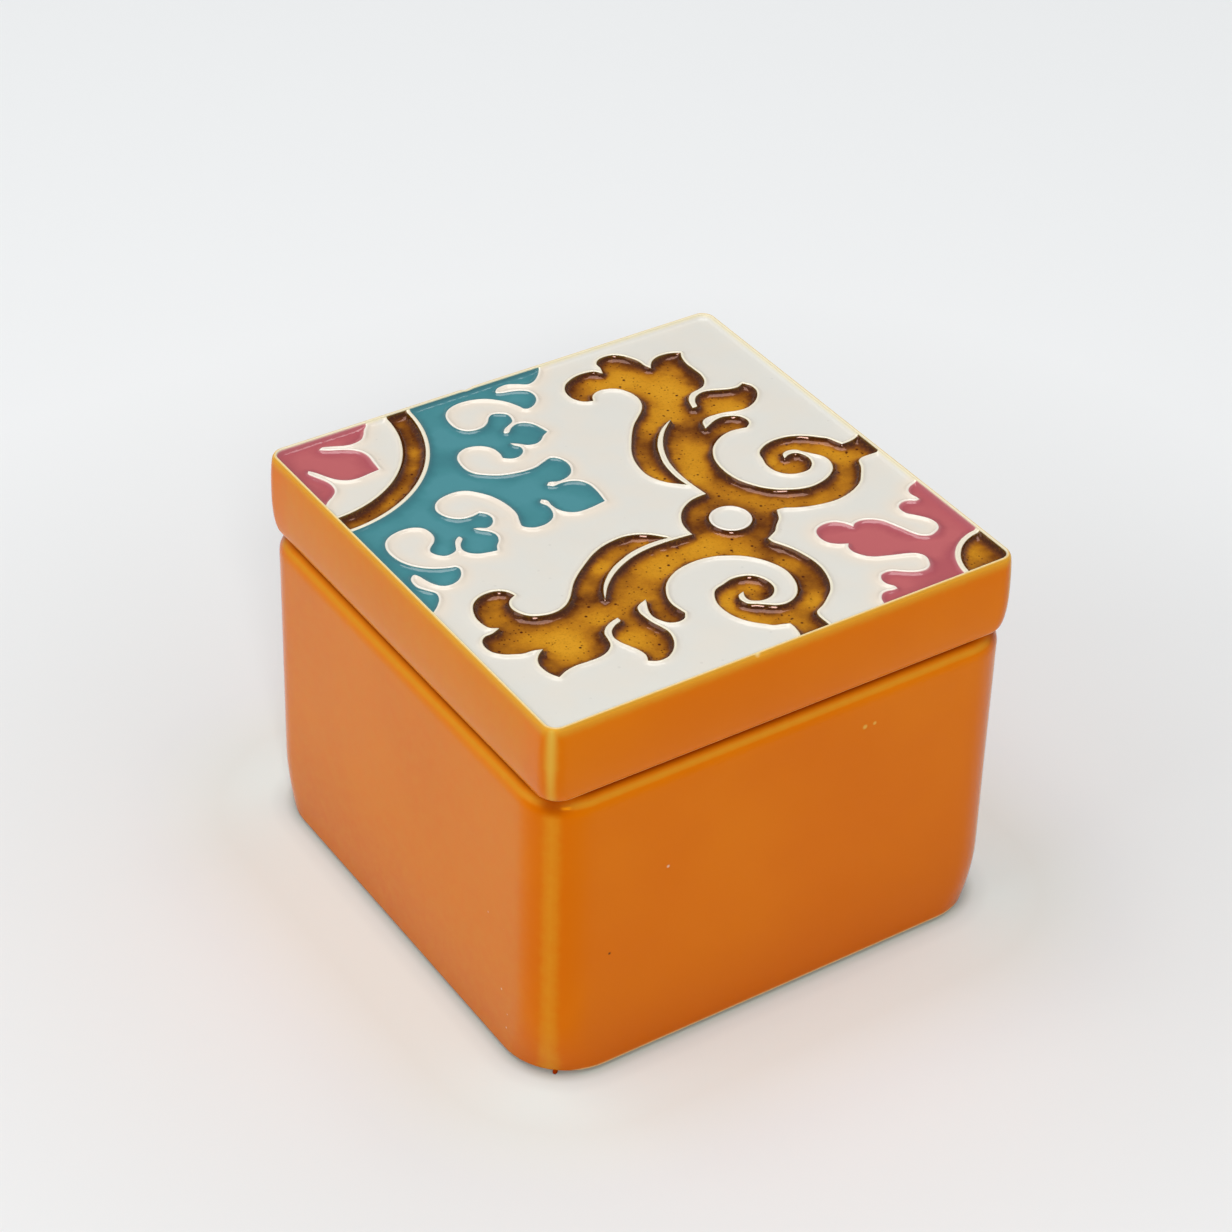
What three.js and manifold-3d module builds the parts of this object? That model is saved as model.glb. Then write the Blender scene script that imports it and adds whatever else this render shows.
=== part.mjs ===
// A square ceramic keepsake box with a lift-off lid.
//
// The box is one fired shell and the lid is another. The lid's face is a relief tile: a thin
// rim stands round it, and cells sunk in the white ground hold pools of coloured glaze. The
// ornament is traditional scrollwork, the same on both sides of the diagonal that runs from
// the back left corner to the front right one.
//
// Millimetres, +Z up. The origin is under the middle of the foot, on the surface that the box
// stands on. The front is -Y, and the corner flower is at the back left, -X +Y.

import * as THREE from "three";
import { mergeVertices } from "three/addons/utils/BufferGeometryUtils.js";
import Module from "manifold-3d";

const wasm = await Module();
wasm.setup();

// Box body
const bodyHalf = 52;              // half the width across the walls, just above the foot
const bodyTaper = 0.3;            // how far the walls lean in by the shoulder
const bodyCorner = 9.5;           // upright corners, outside
const bodyHeight = 65.5;          // foot to rim
const bodyWall = 5;
const bodyFloor = 5;              // thickness of the floor above the foot
const shoulderRadius = 4;         // rolled edge below the rim
const baseInset = 3.6;            // rolled edge above the foot, across
const baseRise = 0.9;             // and up
const mouthInset = 8.5;           // mouth, in from the outside of the wall
const mouthRadius = 1;            // inner edge of the rim
const mouthDepth = 4.5;           // thickness of the rim at the mouth
const mouthFlare = 4.5;           // height in which the inside widens below it
const cavityFloorRadius = 5;      // roll between the inner walls and the floor
const footWidth = 5;              // width of the ring that the box stands on
const footRecess = 1.2;           // hollow inside the foot ring

// Lid
const lidSetback = 2;             // rim of the lid's face, in from the outside of the wall
const lidHeight = 16.5;           // seam to the top of the rim
const lidTopCorner = 2.6;         // corners of the face
const lidSideCorner = 3.8;        // corners of the side at its widest
const lidLowerCorner = 4.5;       // corners of the side just above the seam
const lidBulge = 0.95;            // how far the side swells past the rim
const lidBulgeDrop = 9;           // from the top of the rim down to the widest place
const lidLowerInset = 0.75;       // how far the side comes in again above the seam
const lidEdge = 0.3;              // rounded lower edge
const lidWall = 6;                // side wall round the lid's hollow
const lidPlate = 5;               // thickness of the top under the cells
const lidHollowRadius = 2.5;      // roll between the hollow's walls and its top
const flangeClearance = 1;        // play between the locating flange and the mouth
const flangeWidth = 3.5;
const flangeDepth = 5;
const flangeRadius = 0.8;

// Relief face
const rimWidth = 0.55;            // thin rim round the face
const groundDepth = 0.9;          // white ground, below the top of the rim
const cellDepth = 1.1;            // cells, below the ground
const glazeFill = 0.7;            // depth of glaze in a cell
const glazeGap = 0.25;            // clearance between a pool and the wall of its cell
const bandOuter = 29.6;           // brown band's outer edge, from the back left corner
const bandWidth = 4.4;
const bandRidge = 0.75;           // ridge between the band and the leaf spray
const dropRadius = 9.9;           // brown drop, from the front right corner
const dropRidge = 1;              // ridge between the drop and the sprig
const bossCentre = 12.7;          // white boss in the scroll's ring, from both middle lines
const bossRadius = 4;
const outlineStep = 1.9;          // length of the facets along an outline
const tipReach = 0.8;             // most that a pointed tip moves when an outline is inset

const cornerSteps = 6;            // facets in a quarter turn, seen from above
const rollSteps = 5;              // facets in a rolled edge

// Sizes that follow
const lidHalf = bodyHalf - lidSetback;
const faceHalf = lidHalf - rimWidth;
const mouthHalf = bodyHalf - mouthInset;
const mouthCorner = bodyCorner - bodyWall;
const flangeOuter = mouthHalf - flangeClearance;
const flangeInner = flangeOuter - flangeWidth;
const flangeCorner = mouthCorner - flangeClearance;
const lidTop = bodyHeight + lidHeight;
const ground = lidTop - groundDepth;
const cellFloor = ground - cellDepth;
const glazeTop = cellFloor + glazeFill;

// A rounded square at one height, as a ring of points
function ring(half, corner, z) {
  const points = [];
  const centre = half - corner;
  for (const [index, [sx, sy]] of [[1, 1], [-1, 1], [-1, -1], [1, -1]].entries()) {
    for (let i = 0; i <= cornerSteps; i++) {
      const angle = (index + i / cornerSteps) * Math.PI / 2;
      points.push(new THREE.Vector3(
        sx * centre + corner * Math.cos(angle), sy * centre + corner * Math.sin(angle), z));
    }
  }
  return points;
}

// A closed skin through rings with the same number of points, capped at both ends. The rings
// run up the outside and down the inside, so that the faces point out.
function loft(rings) {
  const count = rings[0].length;
  const positions = rings.flat().flatMap((p) => [p.x, p.y, p.z]);
  const index = [];
  for (let r = 0; r + 1 < rings.length; r++) {
    for (let i = 0; i < count; i++) {
      const a = r * count + i;
      const b = r * count + (i + 1) % count;
      index.push(a, b, b + count, a, b + count, a + count);
    }
  }
  const last = (rings.length - 1) * count;
  for (let i = 1; i + 1 < count; i++) {
    index.push(0, i + 1, i);
    index.push(last, last + i, last + i + 1);
  }
  const geometry = new THREE.BufferGeometry();
  geometry.setAttribute("position", new THREE.Float32BufferAttribute(positions, 3));
  geometry.setIndex(index);
  return geometry;
}

// A quarter turn, as pairs that go from [0, 0] to [1, 1]: the first leaves slowly, the second fast
const quarterTurn = Array.from({ length: rollSteps + 1 }, (_, i) => {
  const angle = i / rollSteps * Math.PI / 2;
  return [1 - Math.cos(angle), Math.sin(angle)];
});

function bodyGeometry() {
  const footOuter = bodyHalf - baseInset;
  const footInner = footOuter - footWidth;
  const footCorner = bodyCorner - baseInset / 2;
  const shoulderHalf = bodyHalf - bodyTaper;
  const cavityHalf = bodyHalf - bodyWall;
  const cavityFloor = footRecess + bodyFloor;
  const flareTop = bodyHeight - mouthDepth;
  const rings = [
    ring(footInner - footRecess, footCorner - footWidth / 2, footRecess),
    ring(footInner, footCorner - footWidth / 2, 0),
  ];
  for (const [slow, fast] of quarterTurn) {
    rings.push(ring(footOuter + baseInset * fast, footCorner + baseInset / 2 * fast, baseRise * slow));
  }
  for (const [slow, fast] of quarterTurn) {
    rings.push(ring(shoulderHalf - shoulderRadius * slow, bodyCorner,
      bodyHeight - shoulderRadius * (1 - fast)));
  }
  for (const [slow, fast] of quarterTurn) {
    const inset = mouthRadius * (1 - fast);
    rings.push(ring(mouthHalf + inset, mouthCorner + inset, bodyHeight - mouthRadius * slow));
  }
  for (const [slow, fast] of quarterTurn) {
    rings.push(ring(mouthHalf + (cavityHalf - mouthHalf) * fast, mouthCorner, flareTop - mouthFlare * slow));
  }
  for (const [slow, fast] of quarterTurn) {
    rings.push(ring(cavityHalf - cavityFloorRadius * slow, mouthCorner - 2 * slow,
      cavityFloor + cavityFloorRadius * (1 - fast)));
  }
  return loft(rings);
}

function lidGeometry() {
  const hollowHalf = lidHalf - lidWall;
  const hollowTop = cellFloor - lidPlate;
  const hollowCorner = flangeCorner - 1;
  const widestHalf = lidHalf + lidBulge;
  const lowerHalf = widestHalf - lidLowerInset;
  const widest = lidTop - lidBulgeDrop;
  const flangeTip = bodyHeight - flangeDepth;
  const rings = [];
  for (const [slow, fast] of quarterTurn) {
    const inset = lidHollowRadius * (1 - fast);
    rings.push(ring(hollowHalf - inset, hollowCorner, hollowTop - lidHollowRadius * slow));
  }
  rings.push(
    ring(hollowHalf, hollowCorner, bodyHeight + lidHollowRadius),
    ring(flangeInner, hollowCorner, bodyHeight - flangeRadius),
    ring(flangeInner, hollowCorner, flangeTip + flangeRadius),
    ring(flangeInner + flangeRadius, hollowCorner, flangeTip),
    ring(flangeOuter - flangeRadius, flangeCorner, flangeTip),
    ring(flangeOuter, flangeCorner, flangeTip + flangeRadius),
    ring(flangeOuter, flangeCorner, bodyHeight),
    ring(lowerHalf - lidEdge, lidLowerCorner, bodyHeight),
  );
  for (const [slow, fast] of quarterTurn) {
    const corner = lidLowerCorner + (lidSideCorner - lidLowerCorner) * fast;
    rings.push(ring(lowerHalf + lidLowerInset * fast, corner,
      bodyHeight + lidEdge + (widest - bodyHeight - lidEdge) * slow));
  }
  for (const [slow, fast] of quarterTurn.slice(1)) {
    rings.push(ring(widestHalf - lidBulge * slow, lidSideCorner + (lidTopCorner - lidSideCorner) * slow,
      widest + lidBulgeDrop * fast));
  }
  rings.push(ring(faceHalf, lidTopCorner - rimWidth, lidTop));
  rings.push(ring(faceHalf, lidTopCorner - rimWidth, ground));
  return loft(rings);
}

// Outlines of the ornament: lists of [x, y] in hundredths of the lid's width, from the middle
// of its face. A point with CORNER is sharp, and between two of them the line is a smooth curve.
const CORNER = true;
const hundredth = 2 * lidHalf / 100;
const lidCorner = lidHalf / hundredth;
const edge = faceHalf / hundredth; // where the rim cuts the ornament off

const mirrored = ([x, y, corner]) => [-y, -x, corner];

// A whole outline from its half on one side of the diagonal
function bothSides(half) {
  const isOnDiagonal = ([x, y]) => Math.abs(x + y) < 1e-6;
  const other = half.filter((point) => !isOnDiagonal(point)).map(mirrored).reverse();
  return [...half, ...other];
}

// Half of an arc about the back left corner, from the diagonal to the rim
function arcFromDiagonal(radiusInMillimetres, count) {
  const radius = radiusInMillimetres / hundredth;
  const atRim = Math.asin((edge - lidCorner) / radius);
  return Array.from({ length: count }, (_, i) => {
    const angle = -Math.PI / 4 + (atRim + Math.PI / 4) * i / (count - 1);
    return [radius * Math.cos(angle) - lidCorner, radius * Math.sin(angle) + lidCorner, i === count - 1];
  });
}

// The same arc about the front right corner
function oppositeArc(radius, count) {
  return arcFromDiagonal(radius, count).map(([x, y, corner]) => [-x, -y, corner]);
}

const cornerFlower = bothSides([
  [-edge, edge, CORNER], [-29.2, edge, CORNER], [-30.5, 48.1], [-31.5, 46.6], [-32.8, 45.4], [-34.8, 45],
  [-36.5, 45.3], [-38.5, 46.2], [-40.4, 46.9], [-41.2, 46.4, CORNER], [-39.8, 45.4], [-37.8, 44.4],
  [-35.8, 43.1], [-34.6, 41.4], [-34.3, 39.7], [-34.5, 37.7], [-34.8, 34.8, CORNER],
]);

const cornerBand = bothSides([
  ...arcFromDiagonal(bandOuter, 9), ...arcFromDiagonal(bandOuter - bandWidth, 9).reverse(),
]);

const leafSpray = bothSides([
  ...arcFromDiagonal(bandOuter + bandRidge, 9), [9.8, edge, CORNER], [8.1, 47.4], [6.4, 46.1], [4.8, 45.8],
  [3.2, 46.8], [1.6, 47.7], [0, 47.8], [-1.3, 47.4], [-2.1, 46.3], [-1.2, 45.7], [0.4, 45.3], [2.3, 44.6],
  [3.6, 43.5], [3.9, 41.8], [3.3, 40.1], [1.9, 38.8], [0.3, 38.3], [-0.4, 38.7, CORNER],
  [-0.8, 40.1], [-2, 42.5], [-3.4, 44.2], [-5.2, 45.6], [-7.4, 46.5], [-9.7, 46.8], [-11.9, 46.5],
  [-13.7, 45.5], [-14.8, 44], [-15.3, 42.1],
  [-15.3, 40.1], [-14.8, 38.6], [-13.8, 37.5], [-12.2, 37], [-10.4, 37.2], [-9, 38.1],
  [-7.7, 39.6], [-6.7, 40.1], [-5.3, 39.6], [-4.3, 38.6], [-4.2, 37.4], [-4.7, 36], [-5.9, 35.3],
  [-7.2, 34.6], [-8.2, 33.3], [-7.4, 33], [-6, 34.2], [-4.4, 34.8], [-3, 34.4], [-1.9, 33.3], [-1.3, 31.8],
  [-0.8, 29.5, CORNER], [-2.1, 28.8], [-3.5, 27.6], [-5.1, 27.1], [-6.6, 27.6], [-7.8, 28.8],
  [-9, 29.7, CORNER], [-8.8, 28.8], [-8, 27.6], [-8.2, 26.4], [-9.1, 25.4], [-10.4, 24.9], [-11.8, 25.2],
  [-12.8, 26.1, CORNER], [-12.5, 27.8], [-12.7, 29.6], [-13.7, 31.2], [-15.4, 32.3], [-17.4, 32.6],
  [-19.2, 31.8], [-20.4, 30.3], [-20.9, 28.3], [-20.9, 26.3], [-20.2, 24.4], [-18.4, 22.7], [-16.4, 21.4],
  [-14, 20.6], [-11.4, 20.2], [-9, 20.3], [-7, 21], [-5, 21.5], [-3.8, 20.4], [-3.3, 18.6], [-3.6, 16.8],
  [-4.6, 15.2], [-6.2, 14.3], [-8.2, 14.1], [-9.8, 14.7], [-10.6, 14, CORNER], [-9.7, 13.2], [-8, 13.3],
  [-6.2, 13], [-4.6, 12], [-3.7, 10.4], [-3.6, 7.8], [-4.1, 4.1, CORNER],
]);

const leafScroll = bothSides([
  [6.2, -6.2], [7.9, -4.9], [9.9, -4], [12.3, -3.7], [13.3, -3.7, CORNER], [12.9, 0.5], [12.8, 3.1],
  [12.9, 5.8], [13.4, 8.8], [14.3, 11.5], [15.4, 13.8], [16.9, 16.1], [18.6, 18.1], [20.3, 19.6],
  [21.8, 20.8, CORNER], [20.3, 20.1], [18.3, 18.8], [16.3, 16.8], [14.6, 14.5], [13.3, 11.8], [12.3, 9.1],
  [11.8, 6.1], [11.7, 3.5], [12, 0.6, CORNER], [10.6, 1.8], [9.3, 3.1], [8.1, 5], [7.4, 7.5], [7.5, 10.1],
  [8.1, 12.8], [9.3, 15.5], [10.9, 18], [12.9, 20.8], [14.9, 23.1], [16.9, 24.8], [18.6, 26.3], [19.8, 27.8],
  [20.5, 29.5], [20.7, 31.1], [20.3, 33.1], [19.3, 35], [17.8, 36.1], [16.1, 36.6], [14.6, 36.4],
  [13.4, 35.6], [12.6, 34.1, CORNER], [10.9, 34.8], [9.8, 36.3], [9.5, 38.1], [9.9, 40.1], [11.1, 41.8],
  [12.9, 42.9], [14.9, 43.5], [16.9, 43.5], [18.6, 43], [19.6, 41.6, CORNER], [20.3, 43.5], [20.4, 45],
  [21.3, 46.1], [22.9, 46.6], [24.9, 46.3], [26.4, 45.1], [27.4, 43.5], [28.1, 41.8], [28.3, 39.8],
  [28.8, 38.3, CORNER], [29.6, 39.5], [30.8, 40.6], [32.3, 41.2], [34.3, 41.2], [35.8, 40.8],
  [37.1, 40.1, CORNER], [36.3, 38.5], [35.8, 36.1], [35.9, 33.5], [35.9, 31.1], [35.3, 29.1], [33.9, 27.5],
  [32.4, 27], [30.6, 26.6], [29.3, 25.6], [28.4, 24.1], [27.8, 22.1, CORNER], [28.8, 22.1], [29.4, 23.6],
  [30.6, 25.1], [32.4, 25.8], [34.3, 25.5], [35.9, 24.8], [37.9, 24], [39.6, 23.8], [41.2, 24.4, CORNER],
  [42.1, 22.8], [42.1, 21.1], [41.3, 19.5], [39.8, 18], [37.9, 17], [35.9, 16.6], [33.9, 17], [32.3, 17.5],
  [30.3, 17.8], [28.3, 17.8], [26.8, 17.1], [25.8, 14.8, CORNER], [26.9, 15.3], [28.6, 16.1], [30.6, 16.5],
  [32.4, 16], [33.8, 15], [34.4, 13.5], [34.1, 12], [32.8, 11, CORNER], [31.3, 11.3], [29.3, 11.5],
  [27.3, 11.1], [25.3, 10.1], [23.6, 8.8], [22.3, 7.1], [21.3, 5.1], [20.8, 3.1], [20.6, 0.5], [20.8, -1.5],
  [21.3, -3.5], [22.3, -5.5], [23.6, -7.5], [25.3, -9.2], [27.3, -10.5], [29.6, -11.5], [31.6, -11.9],
  [33.9, -11.7], [36.3, -10.9], [38.3, -9.5], [39.4, -7.9], [39.8, -5.9], [39.3, -4.2], [38.3, -2.9],
  [37.3, -1.6], [36.3, -0.2], [34.6, 0.3], [33.4, -0.2], [32.9, -1.5, CORNER], [34.3, -0.9], [35.6, -1],
  [36.6, -2.2], [36.9, -3.9], [36.4, -5.5], [34.9, -6.9], [33.3, -7.2], [31.6, -6.9], [29.9, -5.9],
  [28.9, -4.2], [28.6, -1.9], [29.1, 0.1], [29.9, 2.5], [31.6, 3.8], [33.6, 4.5], [35.6, 4.6], [37.6, 4.3],
  [39.6, 3.5], [41.6, 2.1], [42.9, 0.8], [43.9, -0.2], [44.6, -1.9], [45.1, -3.2, CORNER], [46.6, -3.2],
  [48.3, -2.9], [edge, -2.4, CORNER], [edge, -8.9, CORNER], [45.6, -8.9], [44.6, -9.4], [43.6, -11.4],
  [42.3, -13.2], [40.6, -15.2], [38.6, -16.5], [36.3, -17.4], [33.9, -17.9], [31.6, -17.9], [29.3, -17.5],
  [26.9, -16.9], [24.9, -16], [22.9, -15], [21.6, -14.9, CORNER], [21.1, -15.9], [20.3, -17.4],
  [18.8, -18.8],
]);

const bossHole = Array.from({ length: 12 }, (_, i) => {
  const angle = i * Math.PI / 6;
  return [
    (bossCentre + bossRadius * Math.cos(angle)) / hundredth,
    (bossRadius * Math.sin(angle) - bossCentre) / hundredth,
  ];
});

const cornerSprig = bothSides([
  ...oppositeArc(dropRadius + dropRidge, 5), [20.9, -edge, CORNER], [21.6, -47.4], [22.6, -46.4],
  [23.8, -46.2], [24.9, -46.5], [25.8, -46.5, CORNER], [25.9, -45.7], [25.1, -44.4], [25, -43], [25.8, -41.7],
  [26.9, -41.4], [28.3, -41.7], [29.6, -42.7], [30.9, -43.7], [32.4, -44.4], [33.9, -44.5], [35.1, -43.9],
  [35.9, -42.7], [36.3, -41.2], [35.6, -39.7], [34.1, -38.7], [31.9, -37.9], [29.6, -37], [27.9, -36.2],
  [26.6, -34.9], [25.8, -33], [25.9, -31.5], [26.6, -30.6, CORNER], [24.9, -29.7], [23.6, -28.4],
  [23.2, -26.5], [23.6, -24.7],
]);

const cornerDrop = bothSides([...oppositeArc(dropRadius, 5), [edge, -edge, CORNER]]);

// Points along an outline, a facet apart, at the size of the lid's face
function faceted(points) {
  const start = Math.max(points.findIndex(([, , corner]) => corner), 0);
  const turned = [...points.slice(start), ...points.slice(0, start), points[start]];
  const facets = [];
  let from = 0;
  for (let to = 1; to < turned.length; to++) {
    if (turned[to][2] || to === turned.length - 1) {
      const stretch = turned.slice(from, to + 1)
        .map(([x, y]) => new THREE.Vector3(x * hundredth, y * hundredth, 0));
      const curve = new THREE.CatmullRomCurve3(stretch, false, "centripetal");
      const count = Math.max(1, Math.round(curve.getLength() / outlineStep));
      facets.push(...curve.getSpacedPoints(count).slice(0, -1));
      from = to;
    }
  }
  return facets.map(({ x, y }) => new THREE.Vector2(x, y));
}

// The same outline moved sideways, inward where the distance is positive
function moved(points, distance) {
  const sign = THREE.ShapeUtils.isClockWise(points) ? -1 : 1;
  return points.map((point, i) => {
    const before = points[(i + points.length - 1) % points.length];
    const after = points[(i + 1) % points.length];
    const into = point.clone().sub(before).normalize();
    const out = after.clone().sub(point).normalize();
    const across = new THREE.Vector2(-into.y - out.y, into.x + out.x).normalize();
    const lean = Math.max(Math.abs(distance) / tipReach, across.dot(new THREE.Vector2(-out.y, out.x)));
    return point.clone().addScaledVector(across, sign * distance / lean);
  });
}

function prism(points, holes, bottom, top) {
  const shape = new THREE.Shape(points);
  shape.holes = holes.map((hole) => new THREE.Path(hole));
  const geometry = new THREE.ExtrudeGeometry(shape, { depth: top - bottom, bevelEnabled: false });
  return geometry.translate(0, 0, bottom);
}

function toSolid(geometry) {
  const bare = geometry.clone();
  bare.deleteAttribute("normal");
  bare.deleteAttribute("uv");
  const merged = mergeVertices(bare, 1e-5);
  return new wasm.Manifold(new wasm.Mesh({
    numProp: 3,
    vertProperties: new Float32Array(merged.attributes.position.array),
    triVerts: new Uint32Array(merged.index.array),
  }));
}

function toGeometry(solid) {
  const mesh = solid.getMesh();
  const geometry = new THREE.BufferGeometry();
  geometry.setAttribute("position", new THREE.BufferAttribute(new Float32Array(mesh.vertProperties), 3));
  geometry.setIndex(new THREE.BufferAttribute(new Uint32Array(mesh.triVerts), 1));
  return geometry;
}

// What lies inside the rim of the face, with a gap to it
function withinRim(solid, gap, bottom, top) {
  const outline = (z) => ring(faceHalf - gap, lidTopCorner - rimWidth, z);
  return solid.intersect(toSolid(loft([outline(bottom), outline(top)])));
}

const brown = new THREE.MeshStandardMaterial({ color: 0xb0701c, roughness: 0.12 });
const rose = new THREE.MeshStandardMaterial({ color: 0xb95a66, roughness: 0.15 });
const turquoise = new THREE.MeshStandardMaterial({ color: 0x4a939c, roughness: 0.15 });
const orange = new THREE.MeshStandardMaterial({ color: 0xd0701f, roughness: 0.2 });
const white = new THREE.MeshStandardMaterial({ color: 0xe2dfd6, roughness: 0.2 });

const cells = [
  { name: "rose_corner_flower", outline: cornerFlower, material: rose },
  { name: "brown_corner_band", outline: cornerBand, material: brown },
  { name: "turquoise_leaf_spray", outline: leafSpray, material: turquoise },
  { name: "brown_leaf_scroll", outline: leafScroll, hole: bossHole, material: brown },
  { name: "rose_corner_sprig", outline: cornerSprig, material: rose },
  { name: "brown_corner_drop", outline: cornerDrop, material: brown },
];

// The lid with its cells sunk into the face
function carvedLid() {
  const top = lidTop + 1;
  let solid = toSolid(lidGeometry());
  for (const { outline, hole } of cells) {
    const cell = toSolid(prism(faceted(outline), hole ? [faceted(hole)] : [], cellFloor, top));
    solid = solid.subtract(withinRim(cell, 0, cellFloor, top));
  }
  return toGeometry(solid);
}

function glazePool({ outline, hole }) {
  const holes = hole ? [moved(faceted(hole), -glazeGap)] : [];
  const pool = toSolid(prism(moved(faceted(outline), glazeGap), holes, cellFloor, glazeTop));
  return toGeometry(withinRim(pool, glazeGap, cellFloor, glazeTop));
}

function piece(name, geometry, material) {
  const mesh = new THREE.Mesh(geometry, material);
  mesh.name = name;
  return mesh;
}

const box = new THREE.Group();
box.add(piece("box_body", bodyGeometry(), orange));

const lid = new THREE.Group();
lid.add(piece("lid", carvedLid(), white));
for (const cell of cells) {
  lid.add(piece(cell.name, glazePool(cell), cell.material));
}
box.add(lid);

export default box;
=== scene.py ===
"""A square glazed ceramic box with a lift-off lid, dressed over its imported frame.

Lengths are in millimetres until a mesh is made, and the meshes are in metres.
"""

import logging
import math
from dataclasses import dataclass, field
from enum import Enum

import bpy
import numpy as np
from mathutils import Euler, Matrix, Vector, noise
from mathutils.geometry import delaunay_2d_cdt, tessellate_polygon
from mathutils.kdtree import KDTree


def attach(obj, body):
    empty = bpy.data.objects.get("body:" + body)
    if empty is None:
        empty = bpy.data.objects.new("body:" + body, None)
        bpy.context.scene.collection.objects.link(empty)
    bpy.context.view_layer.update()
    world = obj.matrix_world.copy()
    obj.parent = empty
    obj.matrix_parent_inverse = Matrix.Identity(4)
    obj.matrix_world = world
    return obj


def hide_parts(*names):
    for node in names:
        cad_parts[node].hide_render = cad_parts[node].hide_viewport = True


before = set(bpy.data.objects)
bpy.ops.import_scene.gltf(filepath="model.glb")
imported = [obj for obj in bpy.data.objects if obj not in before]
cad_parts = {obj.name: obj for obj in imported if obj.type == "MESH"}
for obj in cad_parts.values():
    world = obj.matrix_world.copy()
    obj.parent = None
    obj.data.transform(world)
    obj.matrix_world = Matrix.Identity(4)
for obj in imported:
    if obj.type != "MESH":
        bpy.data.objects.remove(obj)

log = logging.getLogger("ceramic_box")

MM = 0.001
Colour = tuple[float, float, float]
Point = tuple[float, float]
Place = tuple[float, float, float]
OutlinePoint = tuple[float, ...]
Tones = tuple[tuple[float, Colour], ...]
Socket = bpy.types.NodeSocket

BODY_HALF = 52.0
SEAM = 65.5
LID_TOP = 82.0
LID_HALF = 50.0
LID_CORNER = 2.6
SPLIT_INSET = 0.22
RIM_WIDTH = 0.55
EDGE = LID_HALF - RIM_WIDTH
EDGE_CORNER = LID_CORNER - RIM_WIDTH


class Body(Enum):
    """The rigid bodies that the pieces ride on."""

    BOX = "body"
    LID = "lid"


class Slot(Enum):
    """The material slots of the record."""

    ORANGE = "orange_glaze"
    WHITE = "white_glaze"
    ROSE = "rose_glaze"
    BROWN = "brown_glaze"
    TURQUOISE = "turquoise_glaze"


def srgb(red: int, green: int, blue: int) -> Colour:
    """Turn a screen colour into the linear one that a shader takes.

    Args:
        red: red from 0 to 255.
        green: green from 0 to 255.
        blue: blue from 0 to 255.

    Returns:
        The linear colour, each channel from 0 to 1.
    """

    def linear(channel: int) -> float:
        """Give one channel's linear value."""
        value = channel / 255
        return value / 12.92 if value <= 0.04045 else ((value + 0.055) / 1.055) ** 2.4

    return linear(red), linear(green), linear(blue)


# Outlines of the ornament, where C marks a sharp place


C = 1.0

CORNER_FLOWER: list[OutlinePoint] = [
    (-EDGE, EDGE, C), (-29.2, EDGE, C), (-30.5, 48.1), (-31.5, 46.6), (-32.8, 45.4), (-34.8, 45.0),
    (-36.5, 45.3), (-38.5, 46.2), (-40.4, 46.9), (-41.2, 46.4, C), (-39.8, 45.4), (-37.8, 44.4),
    (-35.8, 43.1), (-34.6, 41.4), (-34.3, 39.7), (-34.5, 37.7), (-34.8, 34.8, C),
]

LEAF_SPRAY: list[OutlinePoint] = [
    (9.8, EDGE, C), (8.1, 47.4), (6.4, 46.1), (4.8, 45.8), (3.2, 46.8), (1.6, 47.7), (0, 47.8),
    (-1.3, 47.4), (-2.1, 46.3), (-1.2, 45.7), (0.4, 45.3), (2.3, 44.6), (3.6, 43.5), (3.9, 41.8),
    (3.3, 40.1), (1.9, 38.8), (0.3, 38.3), (-0.4, 38.7, C), (-0.8, 40.1), (-2, 42.5), (-3.4, 44.2),
    (-5.2, 45.6), (-7.4, 46.5), (-9.7, 46.8), (-11.9, 46.5), (-13.7, 45.5), (-14.8, 44),
    (-15.3, 42.1), (-15.3, 40.1), (-14.8, 38.6), (-13.8, 37.5), (-12.2, 37), (-10.4, 37.2),
    (-9, 38.1), (-7.7, 39.6), (-6.7, 40.1), (-5.3, 39.6), (-4.3, 38.6), (-4.2, 37.4), (-4.7, 36),
    (-5.9, 35.3), (-7.2, 34.6), (-8.2, 33.3), (-7.4, 33), (-6, 34.2), (-4.4, 34.8), (-3, 34.4),
    (-1.9, 33.3), (-1.3, 31.8), (-0.8, 29.5, C), (-2.1, 28.8), (-3.5, 27.6), (-5.1, 27.1),
    (-6.6, 27.6), (-7.8, 28.8), (-9, 29.7, C), (-8.8, 28.8), (-8, 27.6), (-8.2, 26.4), (-9.1, 25.4),
    (-10.4, 24.9), (-11.8, 25.2), (-12.8, 26.1, C), (-12.5, 27.8), (-12.7, 29.6), (-13.7, 31.2),
    (-15.4, 32.3), (-17.4, 32.6), (-19.2, 31.8), (-20.4, 30.3), (-20.9, 28.3), (-20.9, 26.3),
    (-20.2, 24.4), (-18.4, 22.7), (-16.4, 21.4), (-14, 20.6), (-11.4, 20.2), (-9, 20.3), (-7, 21),
    (-5, 21.5), (-3.8, 20.4), (-3.3, 18.6), (-3.6, 16.8), (-4.6, 15.2), (-6.2, 14.3), (-8.2, 14.1),
    (-9.8, 14.7), (-10.6, 14, C), (-9.7, 13.2), (-8, 13.3), (-6.2, 13), (-4.6, 12), (-3.7, 10.4),
    (-3.6, 7.8), (-4.1, 4.1, C),
]

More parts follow.
